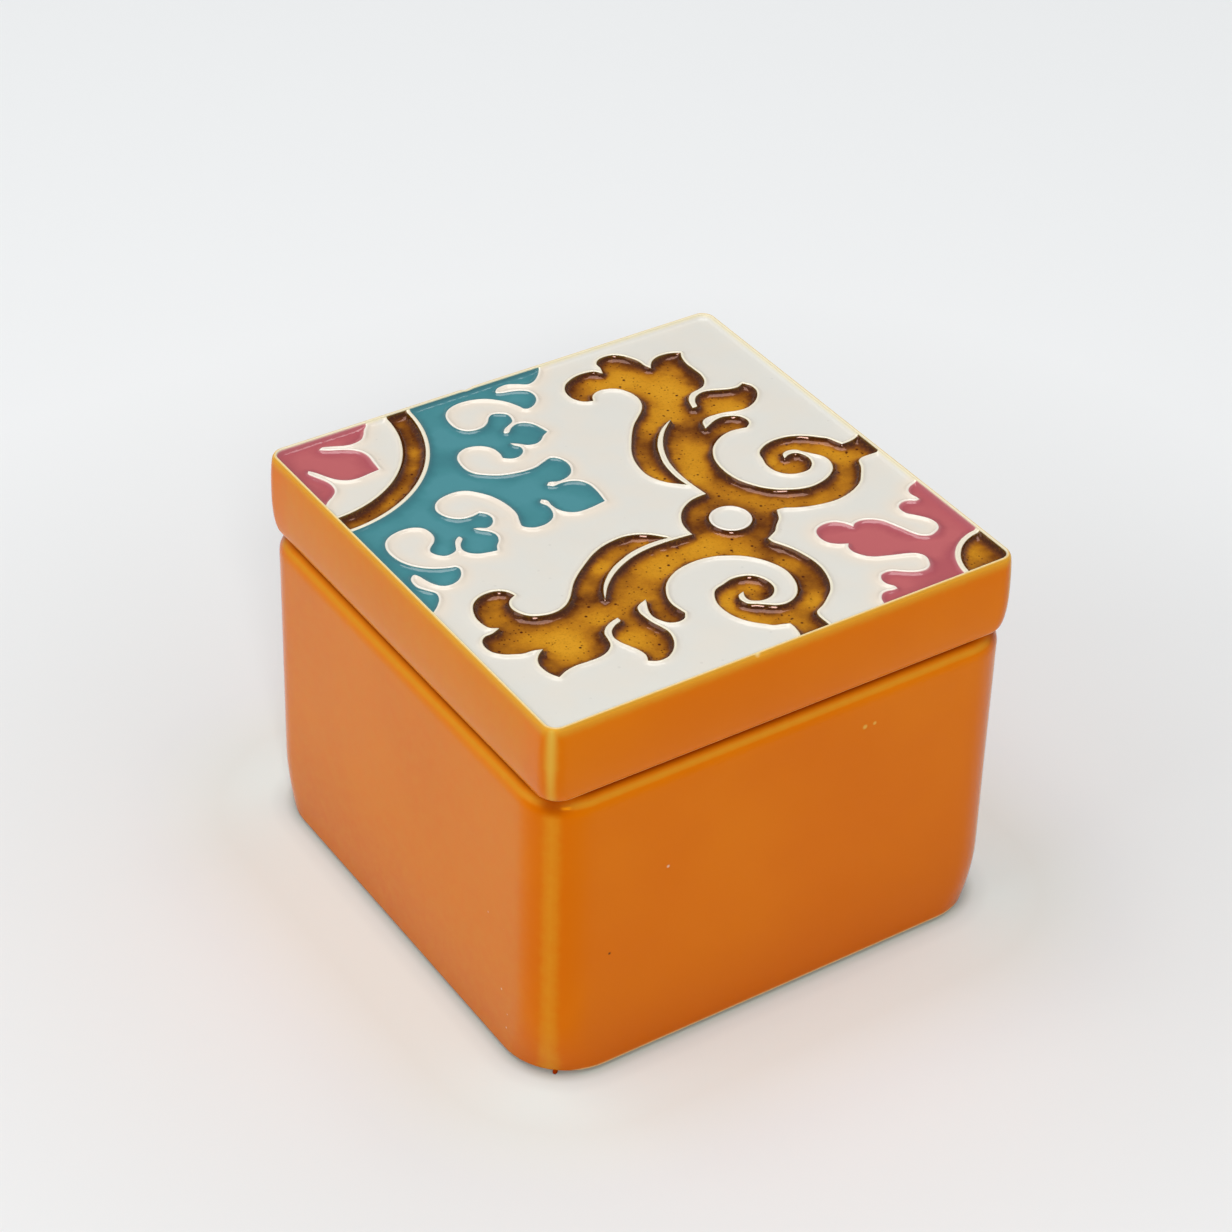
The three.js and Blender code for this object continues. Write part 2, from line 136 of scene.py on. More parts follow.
LEAF_SCROLL: list[OutlinePoint] = [
    (6.2, -6.2), (7.9, -4.9), (9.9, -4), (12.3, -3.7), (13.3, -3.7, C), (12.9, 0.5), (12.8, 3.1),
    (12.9, 5.8), (13.4, 8.8), (14.3, 11.5), (15.4, 13.8), (16.9, 16.1), (18.6, 18.1), (20.3, 19.6),
    (21.8, 20.8, C), (20.3, 20.1), (18.3, 18.8), (16.3, 16.8), (14.6, 14.5), (13.3, 11.8),
    (12.3, 9.1), (11.8, 6.1), (11.7, 3.5), (12, 0.6, C), (10.6, 1.8), (9.3, 3.1), (8.1, 5),
    (7.4, 7.5), (7.5, 10.1), (8.1, 12.8), (9.3, 15.5), (10.9, 18), (12.9, 20.8), (14.9, 23.1),
    (16.9, 24.8), (18.6, 26.3), (19.8, 27.8), (20.5, 29.5), (20.7, 31.1), (20.3, 33.1), (19.3, 35),
    (17.8, 36.1), (16.1, 36.6), (14.6, 36.4), (13.4, 35.6), (12.6, 34.1, C), (10.9, 34.8),
    (9.8, 36.3), (9.5, 38.1), (9.9, 40.1), (11.1, 41.8), (12.9, 42.9), (14.9, 43.5), (16.9, 43.5),
    (18.6, 43), (19.6, 41.6, C), (20.3, 43.5), (20.4, 45), (21.3, 46.1), (22.9, 46.6), (24.9, 46.3),
    (26.4, 45.1), (27.4, 43.5), (28.1, 41.8), (28.3, 39.8), (28.8, 38.3, C), (29.6, 39.5),
    (30.8, 40.6), (32.3, 41.2), (34.3, 41.2), (35.8, 40.8), (37.1, 40.1, C), (36.3, 38.5),
    (35.8, 36.1), (35.9, 33.5), (35.9, 31.1), (35.3, 29.1), (33.9, 27.5), (32.4, 27), (30.6, 26.6),
    (29.3, 25.6), (28.4, 24.1), (27.8, 22.1, C), (28.8, 22.1), (29.4, 23.6), (30.6, 25.1),
    (32.4, 25.8), (34.3, 25.5), (35.9, 24.8), (37.9, 24), (39.6, 23.8), (41.2, 24.4, C),
    (42.1, 22.8), (42.1, 21.1), (41.3, 19.5), (39.8, 18), (37.9, 17), (35.9, 16.6), (33.9, 17),
    (32.3, 17.5), (30.3, 17.8), (28.3, 17.8), (26.8, 17.1), (25.8, 14.8, C), (26.9, 15.3),
    (28.6, 16.1), (30.6, 16.5), (32.4, 16), (33.8, 15), (34.4, 13.5), (34.1, 12), (32.8, 11, C),
    (31.3, 11.3), (29.3, 11.5), (27.3, 11.1), (25.3, 10.1), (23.6, 8.8), (22.3, 7.1), (21.3, 5.1),
    (20.8, 3.1), (20.6, 0.5), (20.8, -1.5), (21.3, -3.5), (22.3, -5.5), (23.6, -7.5), (25.3, -9.2),
    (27.3, -10.5), (29.6, -11.5), (31.6, -11.9), (33.9, -11.7), (36.3, -10.9), (38.3, -9.5),
    (39.4, -7.9), (39.8, -5.9), (39.3, -4.2), (38.3, -2.9), (37.3, -1.6), (36.3, -0.2), (34.6, 0.3),
    (33.4, -0.2), (32.9, -1.5, C), (34.3, -0.9), (35.6, -1), (36.6, -2.2), (36.9, -3.9),
    (36.4, -5.5), (34.9, -6.9), (33.3, -7.2), (31.6, -6.9), (29.9, -5.9), (28.9, -4.2),
    (28.6, -1.9), (29.1, 0.1), (29.9, 2.5), (31.6, 3.8), (33.6, 4.5), (35.6, 4.6), (37.6, 4.3),
    (39.6, 3.5), (41.6, 2.1), (42.9, 0.8), (43.9, -0.2), (44.6, -1.9), (45.1, -3.2, C),
    (46.6, -3.2), (48.3, -2.9), (EDGE, -2.4, C), (EDGE, -8.9, C), (45.6, -8.9), (44.6, -9.4),
    (43.6, -11.4), (42.3, -13.2), (40.6, -15.2), (38.6, -16.5), (36.3, -17.4), (33.9, -17.9),
    (31.6, -17.9), (29.3, -17.5), (26.9, -16.9), (24.9, -16), (22.9, -15), (21.6, -14.9, C),
    (21.1, -15.9), (20.3, -17.4), (18.8, -18.8),
]

CORNER_SPRIG: list[OutlinePoint] = [
    (20.9, -EDGE, C), (21.6, -47.4), (22.6, -46.4), (23.8, -46.2), (24.9, -46.5), (25.8, -46.5, C),
    (25.9, -45.7), (25.1, -44.4), (25, -43), (25.8, -41.7), (26.9, -41.4), (28.3, -41.7),
    (29.6, -42.7), (30.9, -43.7), (32.4, -44.4), (33.9, -44.5), (35.1, -43.9), (35.9, -42.7),
    (36.3, -41.2), (35.6, -39.7), (34.1, -38.7), (31.9, -37.9), (29.6, -37), (27.9, -36.2),
    (26.6, -34.9), (25.8, -33), (25.9, -31.5), (26.6, -30.6, C), (24.9, -29.7), (23.6, -28.4),
    (23.2, -26.5), (23.6, -24.7),
]

BAND_OUTER = 29.6
BAND_WIDTH = 4.4
BAND_RIDGE = 0.75
DROP_RADIUS = 9.9
DROP_RIDGE = 1.0
BOSS_CENTRE = 12.7
BOSS_RADIUS = 4.0


def both_sides(half: list[OutlinePoint]) -> list[OutlinePoint]:
    """Close a half outline with its mirror image across the diagonal from back left to front right."""
    other = [(-p[1], -p[0], *p[2:]) for p in half if abs(p[0] + p[1]) > 1e-6]
    return [*half, *reversed(other)]


def arc_from_diagonal(radius: float, count: int, opposite: bool = False) -> list[OutlinePoint]:
    """Lay out half of an arc about a corner of the lid, from the diagonal to the rim.

    Args:
        radius: the arc's radius.
        count: how many points it gets.
        opposite: whether it is about the front right corner and not the back left one.

    Returns:
        The arc's points, with the last one sharp.
    """
    start, stop = -math.pi / 4, math.asin((EDGE - LID_HALF) / radius)
    sign = -1 if opposite else 1
    points: list[OutlinePoint] = []
    for i in range(count):
        angle = start + (stop - start) * i / (count - 1)
        x, y = radius * math.cos(angle) - LID_HALF, radius * math.sin(angle) + LID_HALF
        points.append((sign * x, sign * y, C) if i == count - 1 else (sign * x, sign * y))
    return points


def boss_hole() -> list[OutlinePoint]:
    """Lay out the circle of the white boss in the scroll's ring."""
    turns = [math.radians(15 * i) for i in range(24)]
    return [(BOSS_CENTRE + BOSS_RADIUS * math.cos(a), BOSS_RADIUS * math.sin(a) - BOSS_CENTRE) for a in turns]


def spline(points: np.ndarray, step: float, pieces: int = 24) -> np.ndarray:
    """Run a centripetal spline through points.

    Args:
        points: at least two places, one per row.
        step: the length between samples.
        pieces: how finely each stretch is measured.

    Returns:
        Samples from the first place up to but not including the last.
    """
    if len(points) == 2:
        count = max(1, round(float(np.linalg.norm(points[1] - points[0])) / step))
        return points[0] + (points[1] - points[0]) * (np.arange(count) / count)[:, None]
    padded = np.vstack([2 * points[0] - points[1], points, 2 * points[-1] - points[-2]])
    samples = []
    for i in range(1, len(padded) - 2):
        p0, p1, p2, p3 = padded[i - 1 : i + 3]
        t1 = float(np.linalg.norm(p1 - p0)) ** 0.5
        t2 = t1 + float(np.linalg.norm(p2 - p1)) ** 0.5
        t3 = t2 + float(np.linalg.norm(p3 - p2)) ** 0.5
        t = np.linspace(t1, t2, pieces, endpoint=False)[:, None]
        a1 = (t1 - t) / t1 * p0 + t / t1 * p1
        a2 = (t2 - t) / (t2 - t1) * p1 + (t - t1) / (t2 - t1) * p2
        a3 = (t3 - t) / (t3 - t2) * p2 + (t - t2) / (t3 - t2) * p3
        b1 = (t2 - t) / t2 * a1 + t / t2 * a2
        b2 = (t3 - t) / (t3 - t1) * a2 + (t - t1) / (t3 - t1) * a3
        samples.append((t2 - t) / (t2 - t1) * b1 + (t - t1) / (t2 - t1) * b2)
    fine = np.vstack([*samples, points[-1:]])
    along = np.concatenate([[0], np.cumsum(np.linalg.norm(np.diff(fine, axis=0), axis=1))])
    count = max(1, round(along[-1] / step))
    at = along[-1] * np.arange(count) / count
    return np.stack([np.interp(at, along, fine[:, k]) for k in (0, 1)], axis=1)


def smooth_outline(points: list[OutlinePoint], step: float) -> np.ndarray:
    """Sample a closed outline, smooth between its sharp places.

    Args:
        points: the outline's points, where a third number marks a sharp one.
        step: the length between samples.

    Returns:
        The samples, anticlockwise.
    """
    start = next((i for i, p in enumerate(points) if len(p) > 2), 0)
    turned = [*points[start:], *points[: start + 1]]
    places = np.array([p[:2] for p in turned], float)
    stops = [0, *(i for i in range(1, len(turned) - 1) if len(turned[i]) > 2), len(turned) - 1]
    line = np.vstack([spline(places[a : b + 1], step) for a, b in zip(stops, stops[1:])])
    x, y = line.T
    area = float(np.sum(x * np.roll(y, -1) - np.roll(x, -1) * y))
    return line if area > 0 else line[::-1]


# Helpers


def rounded_square(half: float, corner: float, sides: int, turns: int) -> np.ndarray:
    """Lay out a rounded square, anticlockwise from the start of its back right corner.

    Args:
        half: half its width.
        corner: radius of its corners.
        sides: pieces in each straight side.
        turns: pieces in each corner.

    Returns:
        Its points, one per row.
    """
    centre = half - corner
    signs = ((1, 1), (-1, 1), (-1, -1), (1, -1))

    def on_corner(which: int, angle: float) -> Point:
        """Give the place at an angle on one of the corners."""
        sx, sy = signs[which % 4]
        return sx * centre + corner * math.cos(angle), sy * centre + corner * math.sin(angle)

    points: list[Point] = []
    for quarter in range(4):
        points += [on_corner(quarter, (quarter + i / turns) * math.pi / 2) for i in range(turns + 1)]
        (x0, y0), (x1, y1) = points[-1], on_corner(quarter + 1, (quarter + 1) * math.pi / 2)
        points += [(x0 + (x1 - x0) * i / sides, y0 + (y1 - y0) * i / sides) for i in range(1, sides)]
    return np.array(points)


def to_border(points: np.ndarray, half: float, corner: float) -> np.ndarray:
    """Measure how far places lie inside a rounded square.

    Args:
        points: places, one per row.
        half: half the square's width.
        corner: radius of its corners.

    Returns:
        The distances to its border, negative outside.
    """
    past = np.abs(points[:, :2]) - (half - corner)
    outside = np.linalg.norm(np.maximum(past, 0), axis=1)
    return corner - outside - np.minimum(past.max(axis=1), 0)


def make_piece(name: str, vertices: np.ndarray, faces: list[tuple[int, ...]]) -> bpy.types.Object:
    """Make a smooth mesh object.

    Args:
        name: the piece's name.
        vertices: places in millimetres, one per row.
        faces: vertex numbers of each face, anticlockwise from outside.

    Returns:
        The new object, linked to the scene.
    """
    mesh = bpy.data.meshes.new(name)
    mesh.from_pydata((vertices * MM).tolist(), [], faces)
    mesh.validate()
    mesh.polygons.foreach_set("use_smooth", [True] * len(mesh.polygons))
    piece = bpy.data.objects.new(name, mesh)
    bpy.context.scene.collection.objects.link(piece)
    return piece


def paint(piece: bpy.types.Object, name: str, values: np.ndarray) -> None:
    """Store one number per vertex for a finish to read.

    Args:
        piece: the object.
        name: the attribute's name.
        values: the numbers, in the order of its vertices.
    """
    attribute = piece.data.attributes.new(name, "FLOAT", "POINT")
    attribute.data.foreach_set("value", values.astype(np.float32))


def wander(points: np.ndarray, scale: float, seed: float) -> np.ndarray:
    """Give each place in millimetres a slow random number about 0, by the bumps' width and a seed."""
    offset = Vector((seed, 1.7 * seed, 0.6 * seed))
    return np.array([noise.noise(Vector(p).to_3d() / scale + offset) for p in points.tolist()])


def bell(value: float | np.ndarray, centre: float, width: float | np.ndarray) -> float | np.ndarray:
    """Give 1 at the centre, falling to nothing on both sides."""
    return np.exp(-(((value - centre) / width) ** 2))


def unit(value: float) -> float:
    """Keep a number between 0 and 1."""
    return min(max(value, 0), 1)


def turn(count: int) -> list[Point]:
    """Split a quarter turn into pairs from (0, 0) to (1, 1), the first leaving slowly."""
    angles = [math.pi / 2 * i / count for i in range(count + 1)]
    return [(1 - math.cos(a), math.sin(a)) for a in angles]


def loft_faces(count: int, levels: int, bottom_cap: bool, top_cap: bool) -> list[tuple[int, ...]]:
    """Join closed rings of places, each to the next.

    Args:
        count: how many places a ring has.
        levels: how many rings there are.
        bottom_cap: whether the first ring is closed.
        top_cap: whether the last ring is closed.

    Returns:
        The vertex numbers of each face.
    """
    faces: list[tuple[int, ...]] = []
    top = (levels - 1) * count
    for low in range(0, top, count):
        for i in range(count):
            j = (i + 1) % count
            faces.append((low + i, low + j, low + count + j, low + count + i))
    if bottom_cap:
        faces.append(tuple(range(count - 1, -1, -1)))
    if top_cap:
        faces.append(tuple(range(top, top + count)))
    return faces


# Finishes


@dataclass(frozen=True)
class Grain:
    """Noise in a finish: width of its bumps in millimetres, levels of finer noise, their strength."""

    width: float
    detail: float = 2.0
    rough: float = 0.5


@dataclass(frozen=True)
class Specks:
    """Scattered round spots: how far apart, the largest radius, the share of places with one."""

    spacing: float
    radius: float
    share: float


@dataclass(frozen=True)
class Fade:
    """A smooth step from a low number to a high one, and what those two become."""

    low: float
    high: float
    start: float = 0.0
    stop: float = 1.0


class Nodes:
    """A tree of shader nodes, made one after another."""

    def __init__(self, tree: bpy.types.NodeTree) -> None:
        """Take the tree that the nodes go into."""
        self.tree = tree

    def link(self, output: Socket, socket: Socket) -> None:
        """Join two sockets."""
        self.tree.links.new(output, socket)

    def node(self, kind: str, how: str = "", *inputs: Socket | float | tuple[float, ...]) -> bpy.types.Node:
        """Add a node.

        Args:
            kind: its type, without the words that all of them start with.
            how: its operation, where it has one.
            inputs: what goes into its first sockets, in order.

        Returns:
            The node.
        """
        node = self.tree.nodes.new(f"ShaderNode{kind}")
        if how:
            node.operation = how
        for value, socket in zip(inputs, node.inputs):
            if isinstance(value, bpy.types.NodeSocket):
                self.link(value, socket)
            else:
                socket.default_value = value
        return node

    def math(self, how: str, *inputs: Socket | float) -> Socket:
        """Combine numbers with an operation, such as MAXIMUM."""
        return self.node("Math", how, *inputs).outputs[0]

    def scaled(self, value: Socket, times: float, plus: Socket | float = 0.0) -> Socket:
        """Give a number times a factor, plus another number."""
        return self.math("MULTIPLY_ADD", value, times, plus)

    def fade(self, value: Socket, fade: Fade) -> Socket:
        """Map a number smoothly from one range to another.

        Args:
            value: the number.
            fade: the ranges.

        Returns:
            The mapped number.
        """
        node = self.node("MapRange", "", value, fade.low, fade.high, fade.start, fade.stop)
        node.interpolation_type = "SMOOTHSTEP"
        return node.outputs["Result"]


class Shader(Nodes):
    """A material's nodes."""

    MARK_CORE = 0.35
    SPECK_CORE = 0.4
    SPECK_EDGE = 0.01

    def __init__(self, name: str) -> None:
        """Start a material with a principled shader.

        Args:
            name: the material's name.
        """
        self.material = bpy.data.materials.new(name)
        self.material.use_nodes = True
        super().__init__(self.material.node_tree)
        self.tree.nodes.clear()
        self.surface = self.node("BsdfPrincipled")
        self.link(self.surface.outputs["BSDF"], self.node("OutputMaterial").inputs["Surface"])
        self.place = self.node("TexCoord").outputs["Object"]

    def attribute(self, name: str) -> Socket:
        """Read a number that is stored on the mesh.

        Args:
            name: the attribute's name.

        Returns:
            The number.
        """
        node = self.node("Attribute")
        node.attribute_name = name
        return node.outputs["Fac"]

    def noise(self, grain: Grain) -> Socket:
        """Add noise.

        Args:
            grain: its bumps.

        Returns:
            A number about 0.5.
        """
        node = self.node("TexNoise")
        node.inputs["Scale"].default_value = 1 / (grain.width * MM)
        node.inputs["Detail"].default_value = grain.detail
        node.inputs["Roughness"].default_value = grain.rough
        self.link(self.place, node.inputs["Vector"])
        return node.outputs["Fac"]

    def drift(self, grain: Grain) -> Socket:
        """Add noise about 0."""
        return self.scaled(self.noise(grain), 1.0, -0.5)

    def specks(self, specks: Specks) -> Socket:
        """Scatter small round spots.

        Args:
            specks: the spots.

        Returns:
            1 in a spot and 0 between them.
        """
        node = self.node("TexVoronoi")
        node.inputs["Scale"].default_value = 1 / (specks.spacing * MM)
        self.link(self.place, node.inputs["Vector"])
        parts = self.node("SeparateColor", "", node.outputs["Color"])
        reach = specks.radius / specks.spacing
        cut = 1 - specks.share
        chosen = self.fade(parts.outputs["Red"], Fade(cut - self.SPECK_EDGE, cut + self.SPECK_EDGE))
        spot = self.fade(node.outputs["Distance"], Fade(self.SPECK_CORE * reach, reach, 1.0, 0.0))
        return self.math("MULTIPLY", spot, chosen)

    def near(self, place: Place, radius: float) -> Socket:
        """Mark what lies near a place in millimetres: 1 there, falling to 0 at the radius."""
        away = self.node("VectorMath", "DISTANCE", self.place, tuple(v * MM for v in place))
        return self.fade(away.outputs["Value"], Fade(self.MARK_CORE * radius * MM, radius * MM, 1.0, 0.0))

    def outside(self, half: float, corner: float) -> Socket:
        """Measure how far places on the ground lie outside a rounded square.

        Args:
            half: half its width in millimetres.
            corner: radius of its corners.

        Returns:
            The distance in metres, less than 0 inside.
        """
        value = self.place
        straight = (half - corner) * MM
        for how, other in (("ABSOLUTE", ()), ("SUBTRACT", (straight, straight, 0)), ("MAXIMUM", (0, 0, 0))):
            value = self.node("VectorMath", how, value, *([other] if other else [])).outputs["Vector"]
        length = self.node("VectorMath", "LENGTH", value).outputs["Value"]
        return self.scaled(length, 1.0, -corner * MM)

    def ramp(self, value: Socket, stops: Tones) -> Socket:
        """Turn a number into a colour.

        Args:
            value: a number.
            stops: numbers from 0 up, each with its colour.

        Returns:
            The colour.
        """
        reach = stops[-1][0]
        node = self.node("ValToRGB", "", self.scaled(value, 1 / reach))
        stack = node.color_ramp.elements
        while len(stack) < len(stops):
            stack.new(0.5)
        for element, (at, colour) in zip(stack, stops):
            element.position = at / reach
            element.color = (*colour, 1)
        return node.outputs["Color"]

    def mix(self, share: Socket, a: Socket | Colour, b: Socket | Colour) -> Socket:
        """Mix two colours.

        Args:
            share: how much of the second there is.
            a: the first colour.
            b: the second colour.

        Returns:
            The mixed colour.
        """
        node = self.node("Mix", "", share)
        node.data_type = "RGBA"
        for value, socket in ((a, node.inputs[6]), (b, node.inputs[7])):
            if isinstance(value, tuple):
                socket.default_value = (*value, 1)
            else:
                self.link(value, socket)
        return node.outputs[2]

    def colour(self, colour: Socket) -> None:
        """Give the surface its colour."""
        self.link(colour, self.surface.inputs["Base Color"])

    def shine(self, roughness: float, index: float, tint: Colour = (1.0, 1.0, 1.0)) -> None:
        """Set how the glaze reflects.

        Args:
            roughness: from 0, a mirror, to 1.
            index: how strongly it bends light.
            tint: colour of what it reflects straight back.
        """
        self.surface.inputs["Roughness"].default_value = roughness
        self.surface.inputs["IOR"].default_value = index
        self.surface.inputs["Specular Tint"].default_value = (*tint, 1)

    def bump(self, grain: Grain, depth: float) -> None:
        """Ripple the surface.

        Args:
            grain: the ripples.
            depth: what they come to in millimetres.
        """
        node = self.node("Bump")
        node.inputs["Strength"].default_value = 1.0
        node.inputs["Distance"].default_value = depth * MM
        self.link(self.noise(grain), node.inputs["Height"])
        self.link(node.outputs["Normal"], self.surface.inputs["Normal"])


@dataclass(frozen=True)
class PooledGlaze:
    """A translucent glaze that lies in a cell and changes tone away from its edge."""

    name: str
    slot: Slot
    tones: Tones
    drift: float
    tint: Colour = (1.0, 1.0, 1.0)
    spot: Colour | None = None
    roughness: float = 0.06
    index: float = 1.52
    cloud: Grain = Grain(1.9, 5.0, 0.65)
    calm_reach: Point = (0.15, 1.5)
    calm_drift: float = 0.1
    smoke: Grain = Grain(0.5, 3.0, 0.7)
    smoke_fade: Fade = Fade(0.48, 0.8, 0.0, 0.55)
    smoke_shade: float = 0.6
    spots: tuple[tuple[Specks, float], ...] = ((Specks(0.9, 0.24, 0.6), 0.8), (Specks(2.1, 0.4, 0.55), 1.0))
    ripple: Grain = Grain(1.5)
    ripple_depth: float = 0.015

    def material(self) -> bpy.types.Material:
        """Build the finish.

        Returns:
            The material, which reads the distance to the cell's edge in millimetres.
        """
        shader = Shader(self.name)
        distance = shader.attribute("edge_mm")
        free = shader.fade(distance, Fade(*self.calm_reach, self.calm_drift, 2 * self.drift))
        shifted = shader.math("ADD", distance, shader.math("MULTIPLY", shader.drift(self.cloud), free))
        colour = shader.ramp(shifted, self.tones)
        if self.spot:
            smoke = shader.fade(shader.noise(self.smoke), self.smoke_fade)
            colour = shader.mix(smoke, colour, tuple(self.smoke_shade * c for c in self.tones[-3][1]))
            for specks, strength in self.spots:
                colour = shader.mix(shader.scaled(shader.specks(specks), strength), colour, self.spot)
        shader.colour(colour)
        shader.shine(self.roughness, self.index, self.tint)
        shader.bump(self.ripple, self.ripple_depth)
        return shader.material


@dataclass(frozen=True)
class TileGlaze:
    """The white glaze of the lid's face, with cream clay showing through on the ridges."""

    name: str = "white_tile_glaze"
    ground: Colour = srgb(224, 222, 215)
    warm: Colour = srgb(235, 221, 204)
    ridge: Colour = srgb(244, 238, 228)
    amber_ridge: Colour = srgb(243, 236, 212)
    rim: Colour = srgb(250, 236, 186)
    far_rim: Colour = srgb(238, 228, 196)
    speck: Colour = srgb(150, 146, 140)
    cloud: Grain = Grain(9.0, 3.0)
    cloud_fade: Fade = Fade(0.35, 0.7, 0.0, 0.25)
    specks: Specks = Specks(3.2, 0.4, 0.4)
    speck_strength: float = 0.14
    roughness: float = 0.1
    index: float = 1.5
    ripple: Grain = Grain(2.4)
    ripple_depth: float = 0.02

    def material(self) -> bpy.types.Material:
        """Build the finish.

        Returns:
            The material, which reads where clay shows through on ridges and rim.
        """
        shader = Shader(self.name)
        cloud = shader.fade(shader.noise(self.cloud), self.cloud_fade)
        colour = shader.mix(shader.math("MAXIMUM", cloud, shader.attribute("warm")), self.ground, self.warm)
        faint = shader.scaled(shader.specks(self.specks), self.speck_strength)
        colour = shader.mix(faint, colour, self.speck)
        ridge = shader.mix(shader.attribute("by_brown"), self.ridge, self.amber_ridge)
        colour = shader.mix(shader.attribute("thin"), colour, ridge)
        rim = shader.mix(shader.attribute("far"), self.rim, self.far_rim)
        shader.colour(shader.mix(shader.attribute("rim"), colour, rim))
        shader.shine(self.roughness, self.index)
        shader.bump(self.ripple, self.ripple_depth)
        return shader.material


@dataclass(frozen=True)
class Fleck:
    """A small spot in the glaze, at a place on a wall."""

    place: Place
    radius: float
    colour: Colour


@dataclass(frozen=True)
class DippedGlaze:
    """The orange glaze of the walls, ochre where it runs thin over an edge."""

    name: str
    flecks: tuple[Fleck, ...] = ()
    full: Colour = srgb(227, 121, 4)
    deep: Colour = srgb(222, 113, 2)
    # darker orange: painted shade at the corners, and darker towards the ground
    low: Colour = srgb(208, 98, 0)
    thin: Colour = srgb(220, 143, 30)
    # pale yellow: thin glaze with a painted highlight, down the corners and along edges
    streak_and_highlight: Colour = srgb(222, 180, 74)
    clay: Colour = srgb(238, 208, 150)
    worn_clay: Colour = srgb(226, 196, 132)
    # painted shade colour: red-brown shade under the lid's edge, at the seam and along the foot, and the
    # drip's own dark glaze
    painted_shade_and_drip: Colour = srgb(150, 46, 0)
    cloud: Grain = Grain(40.0)
    cloud_fade: Fade = Fade(0.3, 0.7)
    ragged: Grain = Grain(2.2, 3.0, 0.6)
    raggedness: float = 0.3
    thin_fade: Fade = Fade(0.2, 0.95)
    bare_fade: Fade = Fade(0.3, 0.7)
    clay_grain: Grain = Grain(0.7, 4.0)
    clay_fade: Fade = Fade(0.3, 0.75)
    tint: Colour = (1.0, 0.4, 0.0)
    index: float = 1.28
    roughness: float = 0.14
    clay_roughness: float = 0.6
    ripple: Grain = Grain(4.0, 3.0)
    ripple_depth: float = 0.02

    def material(self) -> bpy.types.Material:
        """Build the finish.

        Returns:
            The material, which reads how thin the glaze is and where the clay is bare.
        """
        shader = Shader(self.name)
        colour = shader.mix(shader.fade(shader.noise(self.cloud), self.cloud_fade), self.full, self.deep)
        colour = shader.mix(shader.attribute("low"), colour, self.low)
        thin = shader.scaled(shader.drift(self.ragged), self.raggedness, shader.attribute("thin"))
        colour = shader.mix(shader.fade(thin, self.thin_fade), colour, self.thin)
        colour = shader.mix(shader.attribute("streak_and_highlight"), colour, self.streak_and_highlight)
        # mixes in painted shade, and the drip's own dark glaze
        colour = shader.mix(shader.attribute("painted_shade_and_drip"), colour, self.painted_shade_and_drip)
        bare = shader.fade(shader.attribute("bare"), self.bare_fade)
        worn = shader.fade(shader.noise(self.clay_grain), self.clay_fade)
        colour = shader.mix(bare, colour, shader.mix(worn, self.clay, self.worn_clay))
        for fleck in self.flecks:
            colour = shader.mix(shader.near(fleck.place, fleck.radius), colour, fleck.colour)
        shader.colour(colour)
        shader.shine(self.roughness, self.index, self.tint)
        rough = shader.fade(bare, Fade(0.0, 1.0, self.roughness, self.clay_roughness))
        shader.link(rough, shader.surface.inputs["Roughness"])
        shader.bump(self.ripple, self.ripple_depth)
        return shader.material


@dataclass(frozen=True)
class Cloth:
    """The matt pale ground, toned by its distance from the box with a painted shadow round it, which meets
    the backdrop far off.
    """

    name: str = "pale_ground"
    footprint: Point = (BODY_HALF, 13.0)
    # painted shadow: dark at the box's foot, lighter by 5 mm, darker again from 15 to 30 mm, gone by 150 mm,
    # tinted cool
    tones: Tones = (
        (0.0, srgb(199, 207, 203)), (2.0, srgb(229, 237, 236)), (5.0, srgb(236, 243, 241)),
        (15.0, srgb(227, 230, 227)), (30.0, srgb(225, 227, 228)), (150.0, srgb(239, 241, 243)),
    )
    cloud: Grain = Grain(120.0)
    cloud_fade: Fade = Fade(0.3, 0.7, 0.0, 0.06)
    cloud_shade: float = 0.985
    backdrop: Colour = srgb(236, 237, 238)
    backdrop_fade: Fade = Fade(350.0, 900.0)
    roughness: float = 0.9
    specular: float = 0.1

    def material(self) -> bpy.types.Material:
        """Build the finish.

        Returns:
            The material.
        """
        shader = Shader(self.name)
        away = shader.scaled(shader.outside(*self.footprint), 1 / MM)
        cloud = shader.fade(shader.noise(self.cloud), self.cloud_fade)
        pale = tuple(self.cloud_shade * c for c in self.tones[-1][1])
        colour = shader.mix(cloud, shader.ramp(away, self.tones), pale)
        ray = shader.node("LightPath").outputs
        looked_at = shader.math("MAXIMUM", ray["Is Camera Ray"], ray["Is Glossy Ray"])
        faded = shader.math("MULTIPLY", looked_at, shader.fade(away, self.backdrop_fade))
        shader.colour(shader.mix(faded, colour, (0.0, 0.0, 0.0)))
        shader.surface.inputs["Emission Color"].default_value = (*self.backdrop, 1)
        shader.link(faded, shader.surface.inputs["Emission Strength"])
        shader.surface.inputs["Roughness"].default_value = self.roughness
        shader.surface.inputs["Specular IOR Level"].default_value = self.specular
        return shader.material


# Lofted shells


